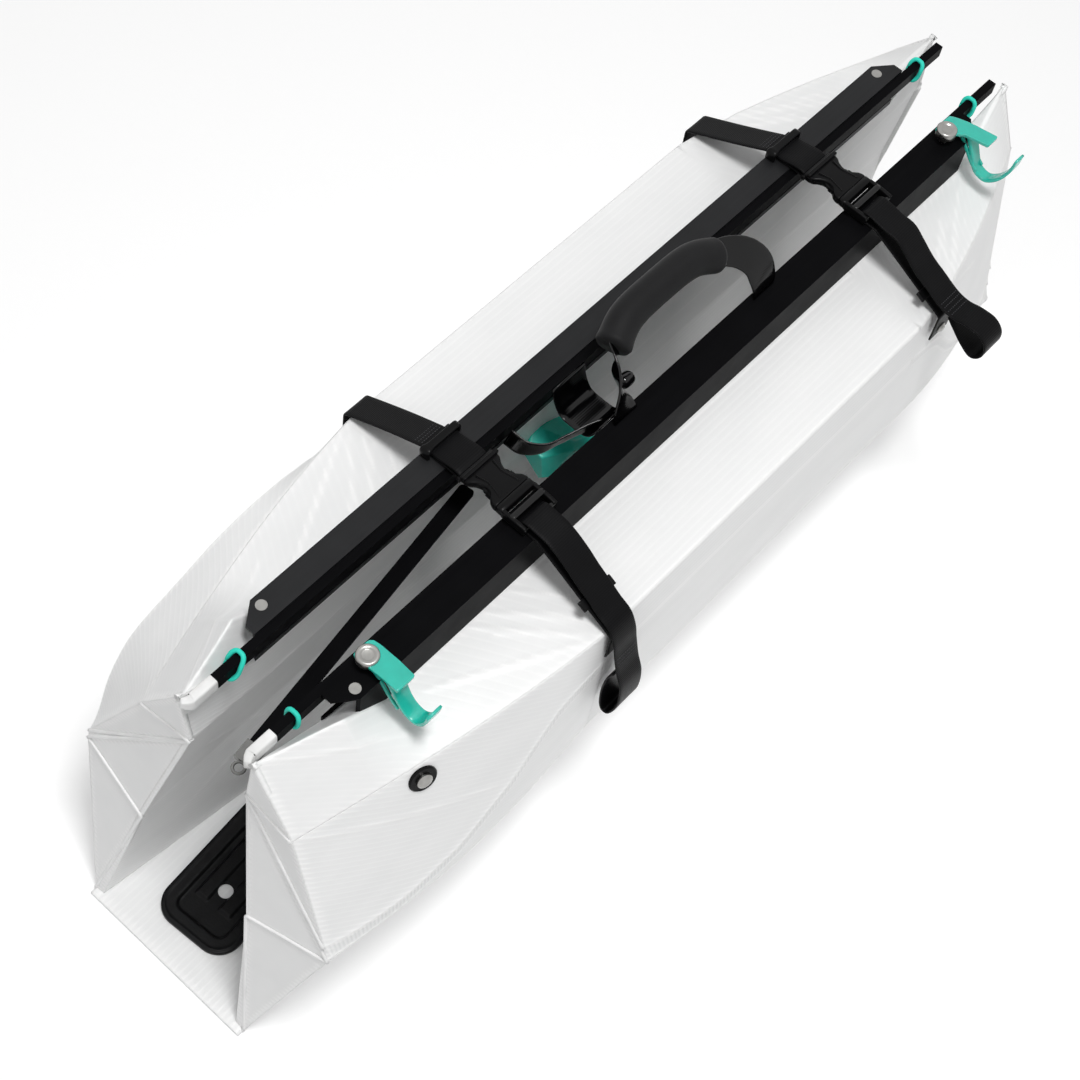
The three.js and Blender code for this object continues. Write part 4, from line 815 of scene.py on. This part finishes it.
def buckle(where, x):
    """A side-release buckle and its keeper. The socket narrows at its side windows, between its end bar and its
    mouth, and the plug has two prongs, a block and a ladder of three bars for the webbing."""
    low, high = BUCKLE_FLOOR, BUCKLE_TOP
    shell_y = np.array([17.6, 17.0, 12.0, 8.0, 4.0, 0.0, -4.0, -8.0, -11.0, -14.0, -17.0, -19.4, -20.0])
    half = np.array([16.8, 17.6, 18.2, 17.0, 13.6, 11.8, 11.0, 11.6, 14.4, 17.2, 18.4, 18.6, 18.0])
    rise = np.array([-3.2, -2.4, -1.6, -1.0, -0.5, -0.2, 0.0, 0.0, 0.0, 0.0, 0.0, 0.0, -0.4])
    smooth_y = np.linspace(12.0, -19.4, 50)
    y = np.r_[shell_y[:2], smooth_y, -20.0]
    wide = np.interp(-y, -shell_y, half)
    wide = np.convolve(np.r_[wide[:1], wide, wide[-1:]], [0.25, 0.5, 0.25], "valid")
    top = high + np.interp(-y, -shell_y, rise)
    y = np.r_[y, -20.0, -19.6, -6.0]
    wide = np.r_[wide, 15.6, 15.2, 14.6]
    top = np.r_[top, high - 1.6, high - 1.9, high - 2.1]
    base = np.r_[np.full(len(y) - 3, low), low + 1.5, low + 1.8, low + 2.0]
    base[0] += 0.6
    lofted(f"{where}_buckle_socket_body", y, x - wide, x + wide, base, top, MOULDED_BLACK, "left_wing")
    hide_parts(f"{where}_buckle_socket")
    bar = boxy_profile(3.4, 4.2)
    for k, (spot, height) in enumerate(((13.0, high - 1.2), (17.5, low + 2.4))):
        ends = resample([(x - 18.6, spot, height), (x + 18.6, spot, height)], 2)
        sweep(f"{where}_socket_bar_{k}", ends, (0, 1, 0), bar, MOULDED_BLACK, "left_wing")
    for k, way in enumerate((-1, 1)):
        rib = resample([(x + way * 9.6, 9, high - 0.2), (x + way * 7.4, -2, high + 0.15),
                        (x + way * 10.5, -17, high + 0.1)], 2)
        sweep(f"{where}_socket_rib_{k}", rib, (1, 0, 0), boxy_profile(1.1, 0.9, 12, 2.5), MOULDED_BLACK, "left_wing")

    plug_y = np.r_[-20.2, -20.6, -26.4, -27.0]
    wide = np.array([17.6, 18.6, 18.8, 18.2])
    block = lofted(f"{where}_buckle_plug_block", plug_y, x - wide, x + wide, low + 0.2,
                   [high - 1, high, high, high - 0.6], MOULDED_BLACK, "right_wing")
    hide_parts(f"{where}_buckle_plug")
    middle = (low + high) / 2
    for k, way in enumerate((-1, 1)):
        side_bar = [(x + way * 16.9, -26, middle), (x + way * 16.9, -40, middle), (x + way * 16.6, -48.6, middle - 0.8)]
        sweep(f"{where}_plug_side_{k}", resample(side_bar, 1.5), (1, 0, 0), boxy_profile(3.8, high - low - 0.8),
              MOULDED_BLACK, "right_wing")
        prong = [(x + way * 8.6, -21, middle), (x + way * 9.4, -12, middle), (x + way * 11.6, -5, middle),
                 (x + way * 9.4, -0.6, middle)]
        sweep(f"{where}_plug_prong_{k}", resample(through(prong), 1.2), (1, 0, 0), boxy_profile(4.0, 3.6),
              MOULDED_BLACK, "right_wing")
    for k, (spot, width, tall, height) in enumerate(((-35.0, 5.6, 5.0, high - 1.9), (-47.0, 4.2, 5.6, middle - 0.4))):
        ends = resample([(x - 17.4, spot, height), (x + 17.4, spot, height)], 2)
        sweep(f"{where}_plug_bar_{k}", ends, (0, 1, 0), boxy_profile(width, tall, 24, 3), GLOSS_BLACK, "right_wing")

    keeper = rounded([(x - 19, 51.5, LOWER_LAYER - 1), (x - 19.5, 51.5, SLIDER_TOP + 1.6),
                      (x + 17, 51.5, SLIDER_TOP + 1.6), (x + 17, 51.5, LOWER_LAYER - 0.6)], 3)
    run = resample(keeper, 1.2)
    thick = 1 + 0.5 * np.exp(-((run[:, 0] - (x - 19)) / 4) ** 2)
    piece = sweep(f"{where}_strap_keeper", run, (0, 1, 0), boxy_profile(6.5, 2.6, 20, 3)[None] * thick[:, None, None],
                  MOULDED_BLACK, "left_wing")
    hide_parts(f"{where}_strap_slider")


def box_stitches(name, x, y_spots, z_at, body):
    """Rows of stitches across a strap, in three lines 3.4 mm apart."""
    across = np.linspace(-9.5, 9.5, 9)
    centres = np.array([(x + a, y, z_at(y)) for y in y_spots for a in across])
    dots(name, centres, (1, 0, 0), (0, 0, 1), (1.7, 1.1, 1.1), STITCH_GREY, body)


def sewn_rows(name, path, spots, x, side, body):
    """Stitches on a strap's outer face, in rows at the path's points nearest to the given spots."""
    path = resample(path, 0.5)
    ways = unit(np.gradient(path, axis=0))
    at = [int(np.linalg.norm(path[:len(path) * 2 // 3] - spot, axis=1).argmin()) for spot in np.asarray(spots, float)]
    normal = np.stack([-ways[at, 1], ways[at, 0]], 1)
    base = path[at] + normal * (WEBBING / 2 - 0.1)
    across = np.linspace(-10, 10, 10)
    centres = np.stack([np.tile(x + across, len(at)), side * base[:, 0].repeat(10), base[:, 1].repeat(10)], 1)
    outs = np.stack([np.zeros(len(centres)), side * normal[:, 0].repeat(10), normal[:, 1].repeat(10)], 1)
    dots(name, centres, (1, 0, 0), outs, (1.6, 1.0, 0.9), STITCH_GREY, body)


for where in ("near", "far"):
    left_node, right_node = f"{where}_strap_left_webbing", f"{where}_strap_right_webbing"
    x = strap_x(left_node)
    buckle(where, x + 2)
    left = rounded([*strap_run(14.6)[:-1], (11.6, LOWER_LAYER + 3)], 2.5)
    lay_webbing(f"{where}_left_strap_webbing", left, x, 1, WEBBING_BLACK, left_node)
    flap = through([(57.5, SECOND_LAYER + 0.4), (50, SECOND_LAYER + 0.7), (40, SECOND_LAYER + 2.2),
                    (30, SECOND_LAYER + 4.2), (23, SECOND_LAYER + 4.8), (18.5, SECOND_LAYER + 3.6),
                    (15.4, SECOND_LAYER + 0.6)])
    path = resample(flap, 1.5)
    points = np.stack([x + 0.6 + 0 * path[:, 0], path[:, 0], path[:, 1]], 1)
    sweep(f"{where}_flap_webbing", points, (1, 0, 0), flat_profile(30, 2.6, 0.05), WEBBING_BLACK, "left_wing")
    box_stitches(f"{where}_left_stitches", x, (61, 64.4, 67.8),
                 lambda y: np.interp(y, [58.5, 135], [LOWER_LAYER, SHOULDER + 1.2]) + WEBBING / 2 + 0.05, "left_wing")
    plug_end = 50.0
    slot = 41.0
    start = np.array([plug_end + 1.4, BUCKLE_TOP - 0.6])
    tail = through([start, *TAILS[where]])
    run = rounded([*strap_run(slot)[:-1], (slot, BUCKLE_TOP - 3), (slot + 4, BUCKLE_TOP - 0.2), start], 2)
    whole = np.concatenate([run[:-1], tail])
    lay_webbing(f"{where}_right_strap_webbing", whole, x, -1, WEBBING_BLACK, right_node)
    sewn_rows(f"{where}_tail_stitches", tail, STITCHED[where], x, -1, "right_wing")
    spot = KEEPER_BAR[where]
    height = np.interp(spot, [RAIL_OUTER + 3, WALL], [LOWER_LAYER, SHOULDER + 1.2]) + 2.6
    bar = resample([(x - 18, -spot, height), (x + 17.5, -spot, height)], 2)
    sweep(f"{where}_keeper_bar", bar, (0, 0.88, 0.47), boxy_profile(9, 2.2, 20, 5), MOULDED_BLACK, "right_wing")


# Handle

TILT = np.radians(41)


def on_handle(points):
    """The handle is drawn flat, x along the hull and y away from the rail, then tilted up over the valley."""
    x, y, z = np.asarray(points, float).T
    across = y * np.cos(TILT) - z * np.sin(TILT) - VALLEY - 2.5
    return np.stack([x, across, y * np.sin(TILT) + z * np.cos(TILT) + LOWER_LAYER], 1)


handle_out = unit(on_handle([(0, 0, 1)]) - on_handle([(0, 0, 0)]))[0]
grip_arch = ((0, 1), (0.2, 0.15), (0.5, 0), (0.8, 0.15), (1, 1))
grip_line = through([(490 + 128 * a, 67 - 13 * d, 0) for a, d in grip_arch], 10)
run = np.linspace(0, 1, len(grip_line))
girth = 14.5 * (1 + 0.05 * np.exp(-((run - 0.02) / 0.05) ** 2) - 0.04 * np.sin(np.pi * run) ** 2)
girth[0] *= 0.9
girth[-1] *= 0.9
grip_rings = round_profile(1.0, 28)[None] * girth[:, None, None]
grip = sweep("handle_grip_foam", on_handle(grip_line), handle_out, grip_rings, FOAM_BLACK, "handle")
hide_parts("handle_grip")


LEGS = {
    "near": ([(497, 57, 0), (489, 49, 1), (481, 38, 2), (476, 24, 1), (473, 12, -1), (472, 4, -4), (472, 1, -7)],
             (17, 18, 19, 22, 25, 26, 26), (0, 0.7, 1.25, 0.9, 0.3, 0, 0)),
    "far": ([(611, 57, 0), (624, 53, 3), (637, 43, 6), (645, 29, 6), (646, 14, 2), (646, 5, -3), (646, 1, -7)],
            (20, 24, 27, 28, 28, 27, 27), (0, -0.15, -0.3, -0.25, -0.1, 0, 0)),
}
for name, (spots, widths, twists) in LEGS.items():
    leg = resample(through(np.column_stack([on_handle(spots), widths, twists])), 1.8)
    path, width, twist = leg[:, :3], leg[:, 3], leg[:, 4:]
    level = unit(np.cross(unit(np.gradient(path, axis=0)), handle_out))
    across = level * np.cos(twist) + handle_out * np.sin(twist)
    rings = flat_profile(1.0, 0.09)[None] * np.stack([width, np.full(len(width), 24.0)], -1)[:, None]
    piece = sweep(f"handle_{name}_leg", path, across, rings, WEBBING_GLOSS, "handle")
    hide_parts("handle_band")

low, high = (from_frame(c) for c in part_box("handle_sling"))
sling_x, half = (low[0] + high[0]) / 2, (high[1] - low[1]) / 2 - 1
t = np.linspace(-1, 1, 60)
sling_path = np.stack([sling_x + 0 * t, -half * t, high[2] - (high[2] - low[2] - 1) * (1 - np.abs(t) ** 4)], 1)
sling_piece = sweep("handle_sling_webbing", sling_path, (1, 0, 0), flat_profile(38, 1.8), WEBBING_GLOSS, "right_wing")
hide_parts("handle_sling")


toggle = resample([(499, -5, 337), (514, -4, 333)], 1.0)
swell = 6.2 * np.sqrt(np.clip(1 - np.linspace(-0.94, 0.98, len(toggle)) ** 4, 0.05, 1))
sweep("sling_toggle", toggle, (0, 1, 0), round_profile(1.0, 20)[None] * swell[:, None, None], GLOSS_BLACK, "right_wing")
slack = resample(through([(398, 24, 338), (401, 10, 335), (412, -1, 334), (428, -7, 336), (444, -13, 339),
                          (458, -20, 342)]), 1.8)
slack_piece = sweep("sling_slack_webbing", slack, (0.25, -0.35, 0.9), flat_profile(19, WEBBING), WEBBING_GLOSS,
                    "right_wing")


# Paddle hooks

HOOKS = {
    "near": dict(plate=[(-31, 172, 187), (-34, 171, 190), (-40, 171.5, 191), (-58, 172.5, 191.3), (-74, 172.5, 190.5)],
                 width=15, arm=[(182, -60, 358.5), (182, -67, 347), (182, -73, 336), (182.5, -80, 328),
                                (183, -88, 326), (183.5, -94, 331), (184, -98, 341), (184, -99.5, 350)]),
    "far": dict(plate=[(-31, 880, 900), (-36, 877.5, 903), (-41, 878, 905), (-47, 887, 907), (-53, 893, 908.5),
                       (-75, 898, 912.5)],
                width=12, arm=[(903, -56, 358), (903, -64, 342), (904, -70, 329), (905, -76, 323.5), (906, -84, 322.5),
                               (907, -93, 331), (908, -99.5, 346), (908.5, -101.5, 361)]),
}
PLATE_TOP, PLATE_BASE = 363.6, 359.9
for where, hook in HOOKS.items():
    y, low_x, high_x = np.array(hook["plate"], float).T
    fine = np.linspace(y[0], y[-1], 60)
    low_x, high_x = np.interp(-fine, -y, low_x), np.interp(-fine, -y, high_x)
    edge = np.minimum(1.6, np.minimum(np.abs(fine - y[0]), np.abs(fine - y[-1])) * 2 + 0.3)
    inset = 1.6 - edge
    plate = lofted(f"{where}_hook_plate", fine, low_x + inset, high_x - inset, PLATE_BASE + inset * 0.4,
                   PLATE_TOP - inset * 0.4, HOOK_TEAL, f"{where}_hook", 9)
    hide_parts(f"{where}_hook")
    arm = resample(through(hook["arm"]), 1.0)
    run = np.linspace(0, 1, len(arm))
    width = hook["width"] * (1 - 0.12 * np.sin(np.pi * run))
    rings = boxy_profile(1.0, 1.0, 32, 7)[None] * np.stack([width, 3.6 - 1.2 * run ** 4], -1)[:, None]
    piece = sweep(f"{where}_hook_arm", arm, (1, 0, 0), rings, HOOK_TEAL, f"{where}_hook")
    middle = arm[0][0]
    for k, way in enumerate((-1, 1)):
        spot = middle + way * (hook["width"] / 2 - 1.4)
        rib = resample(through([(spot, -44, 359), (spot, -55, 348), (spot, -66, 335), (spot, -73, 329)]), 1.0)
        piece = sweep(f"{where}_hook_rib_{k}", rib, (1, 0, 0), boxy_profile(2.4, 3.2, 16, 4), HOOK_TEAL,
                      f"{where}_hook")


# Turned pieces

def turned(name, centre, axis, outline, material, body, sides=48, knurl=0.0):
    """A lathe piece: each (radius, height) of the outline becomes a circle round the axis, its radius swelling by
    knurl times |sin| where the outline is at its widest."""
    centre, axis = np.asarray(centre, float), unit(np.asarray(axis, float))
    first = unit(np.cross(axis, (0.31, 0.95, 0.1)))
    second = np.cross(axis, first)
    outline = np.array([(0, outline[0][1]), *outline, (0, outline[-1][1])], float)
    turn = np.linspace(0, 2 * np.pi, sides, endpoint=False)
    ripple = 1 + knurl * (outline[:, :1] > outline[:, 0].max() - 0.4) * np.abs(np.sin(turn * sides / 4))
    radii = outline[:, :1] * ripple
    points = centre + radii[..., None] * (np.cos(turn)[:, None] * first + np.sin(turn)[:, None] * second) \
        + outline[:, 1][:, None, None] * axis
    return make_piece(name, points.reshape(-1, 3), grid_quads(*points.shape[:2], wrap=True), material, body)


for where in ("near", "far"):
    low, high = (from_frame(c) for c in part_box(f"{where}_thumb_bolt"))
    x, y = (low + high)[:2] / 2
    top = high[2]
    knob = [(3.4, low[2]), (3.4, top - 8.4), (4.6, top - 8.3), (8.0, top - 8.2), (8.8, top - 7.4), (8.9, top - 1.2),
            (8.3, top - 0.3), (7.6, top), (5.2, top - 0.1), (4.6, top - 0.9), (4.2, top - 1.0)]
    piece = turned(f"{where}_thumb_knob", (x, y, 0), (0, 0, 1), knob, STEEL, f"{where}_thumb_bolt", 96, 0.018)
    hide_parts(f"{where}_thumb_bolt")

for side, side_name in ((1, "left"), (-1, "right")):
    path = resample([(95, side * 29.5, 342.3), (73.4, side * 29.5, 342.3), (70.5, side * 30.6, 343),
                     (66.5, side * 33.6, 344.6)], 0.8)
    shrink = np.clip((73.4 - path[:, 0]) / 7, 0, 1)
    size = np.stack([13.2 - 6.5 * shrink, 8.6 - 3.5 * shrink], -1)
    piece = sweep(f"{side_name}_batten_wrap", path, (0, 0, 1), boxy_profile(1.0, 1.0, 28, 6)[None] * size[:, None],
                  SLEEVE_WHITE, f"{side_name}_wing")
    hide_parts(f"{side_name}_batten_sleeve")


# Soft bag and cord loops

low, high = (from_frame(c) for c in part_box("soft_bag"))
low, high = low - [14, 8, 2], high + [2, 4, 4]
u, v = np.meshgrid(np.linspace(0, 2 * np.pi, 144, endpoint=False), np.linspace(-np.pi / 2, np.pi / 2, 90),
                   indexing="ij")
toward = np.stack([np.cos(u) * np.cos(v), np.sin(u) * np.cos(v), np.sin(v)], -1)
planes = unit(np.random.default_rng(5).normal(size=(26, 3)))
reaches = np.random.default_rng(6).uniform(0.62, 1.0, 26)
bag = toward / np.maximum(np.maximum(toward @ planes.T, 0.02) / reaches, 0).max(-1)[..., None]
bag /= np.abs(bag).reshape(-1, 3).max(0)
bag = (low + high) / 2 + bag * (high - low) / 2
bag_piece = make_piece("soft_bag_cloth", bag.transpose(1, 0, 2).reshape(-1, 3), grid_quads(90, 144, wrap=True),
                       BAG_TEAL, "left_wing")
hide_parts("soft_bag")

CORD = 1.9
LOOPS = {"left_near": (6.4, 9.6, 7.0), "right_near": (5.7, 8.0, 1.5), "left_far": (6.0, 8.6, 4.0),
         "right_far": (5.8, 8.2, 2.5)}
for loop, (reach, height, lean) in LOOPS.items():
    node = f"{loop}_cord_loop"
    side_name = loop.split("_")[0]
    low, high = (from_frame(c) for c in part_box(node))
    centre = (low + high) / 2
    turn = np.linspace(0, 2 * np.pi, 61)
    rounder = lambda value: np.sign(value) * np.abs(value) ** 0.7
    ring = centre + np.stack([lean * np.sin(turn), rounder(np.cos(turn)) * reach, rounder(np.sin(turn)) * height], 1)
    piece = sweep(f"{node}_cord", ring, (1, 0, 0.001), round_profile(CORD, 12), CORD_TEAL, f"{side_name}_wing")
    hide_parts(node)


# Finishes of the CAD pieces

CAD_FINISHES = {
    # The left rail takes the paler copy of the black rail finish, as painted light.
    "foot_plate": TRAY_BLACK, "left_rail": RAIL_LEFT_PAINTED_LIT, "right_rail": RAIL_RIGHT, "batten": RAIL_RIGHT,
    "strap_left_bolt": STEEL, "strap_right_bolt": STEEL,
    "batten_sleeve": SLEEVE_WHITE, "screw": STEEL, "side_washer": MOULDED_BLACK, "side_bolt": STEEL,
    "strap_slider": MOULDED_BLACK, "buckle_socket": MOULDED_BLACK, "buckle_plug": MOULDED_BLACK, "hook": HOOK_TEAL,
    "thumb_bolt": STEEL, "loose_batten": RAIL_RIGHT, "loose_batten_clip": STEEL_DARK,
}
for name, piece in cad.items():
    key = max((k for k in CAD_FINISHES if name.endswith(k)), key=len, default=None)
    if piece.hide_render or key is None:
        continue
    if not piece.material_slots:
        piece.data.materials.append(None)
    for slot_ in piece.material_slots:
        slot_.link = "OBJECT"
        slot_.material = CAD_FINISHES[key]


# Studio

def light_area(name, spot, aim, size, watts):
    """A square lamp at a spot, turned to face a point."""
    lamp = bpy.data.lights.new(name, "AREA")
    lamp.size, lamp.energy = size, watts
    holder = bpy.data.objects.new(name, lamp)
    holder.location = spot
    holder.rotation_euler = (Vector(aim) - Vector(spot)).to_track_quat("-Z", "Y").to_euler()
    link(holder)


def seen_plainly(tree):
    """1 for camera, glossy and transmission rays, otherwise 0."""
    rays = add_node(tree, "ShaderNodeLightPath").outputs
    mirrored = mathed(tree, "MAXIMUM", rays["Is Glossy Ray"], rays["Is Transmission Ray"])
    return mathed(tree, "MAXIMUM", rays["Is Camera Ray"], mirrored)


light_area("key_light", (-0.35, -0.5, 2.85), (0, 0, 0.15), 0.6, 44)
light_area("fill_light", (-1.2, -2.0, 1.6), (0, 0, 0.2), 2.4, 2)

world = bpy.data.worlds.new("studio")
bpy.context.scene.world = world
world.use_nodes = True
tree = world.node_tree
tree.nodes.clear()
seen = seen_plainly(tree)
soft = add_node(tree, "ShaderNodeBackground", {"Color": (1, 1, 1, 1), "Strength": 0.42})
plain = add_node(tree, "ShaderNodeBackground", {"Color": (1, 1, 1, 1), "Strength": 1.0})
both = add_node(tree, "ShaderNodeMixShader", inputs={0: seen, 1: soft.outputs[0], 2: plain.outputs[0]})
add_node(tree, "ShaderNodeOutputWorld", inputs={"Surface": both.outputs[0]})

floor_mesh = bpy.data.meshes.new("studio_floor")
reach = 6.0
FLOOR_GLOW = 0.22
floor_corners = [(-reach, -reach, 0), (reach, -reach, 0), (reach, reach, 0), (-reach, reach, 0)]
floor_mesh.from_pydata(floor_corners, [], [(0, 1, 2, 3)])
floor = bpy.data.objects.new("studio_floor", floor_mesh)
link(floor)
floor_finish, tree, shader = new_finish("studio_white", (0.9, 0.9, 0.9), 0.9, Specular_IOR_Level=0.0)
floor_mesh.materials.append(floor_finish)
shader.inputs["Emission Color"].default_value = (1, 1, 1, 1)
glow = mathed(tree, "MULTIPLY", seen_plainly(tree), FLOOR_GLOW)
tree.links.new(glow, shader.inputs["Emission Strength"])
floor.location = (0, 0, -0.0008)

camera_data = bpy.data.cameras.new("camera")
camera_data.sensor_width = 36
camera_data.lens = 67.044
camera_data.clip_start, camera_data.clip_end = 0.05, 50
camera = bpy.data.objects.new("camera", camera_data)
link(camera)
bpy.context.scene.camera = camera
right = Vector((0.66414215, -0.7404523, 0.10317752))
up = Vector((0.611096, 0.61718033, 0.49563103))
back = Vector((-0.43067027, -0.26611809, 0.86238291))
camera.matrix_world = Matrix((
    (right.x, up.x, back.x, -0.83170),
    (right.y, up.y, back.y, -0.45611),
    (right.z, up.z, back.z, 1.63788),
    (0, 0, 0, 1),
))
bpy.context.scene.view_settings.view_transform = "Standard"
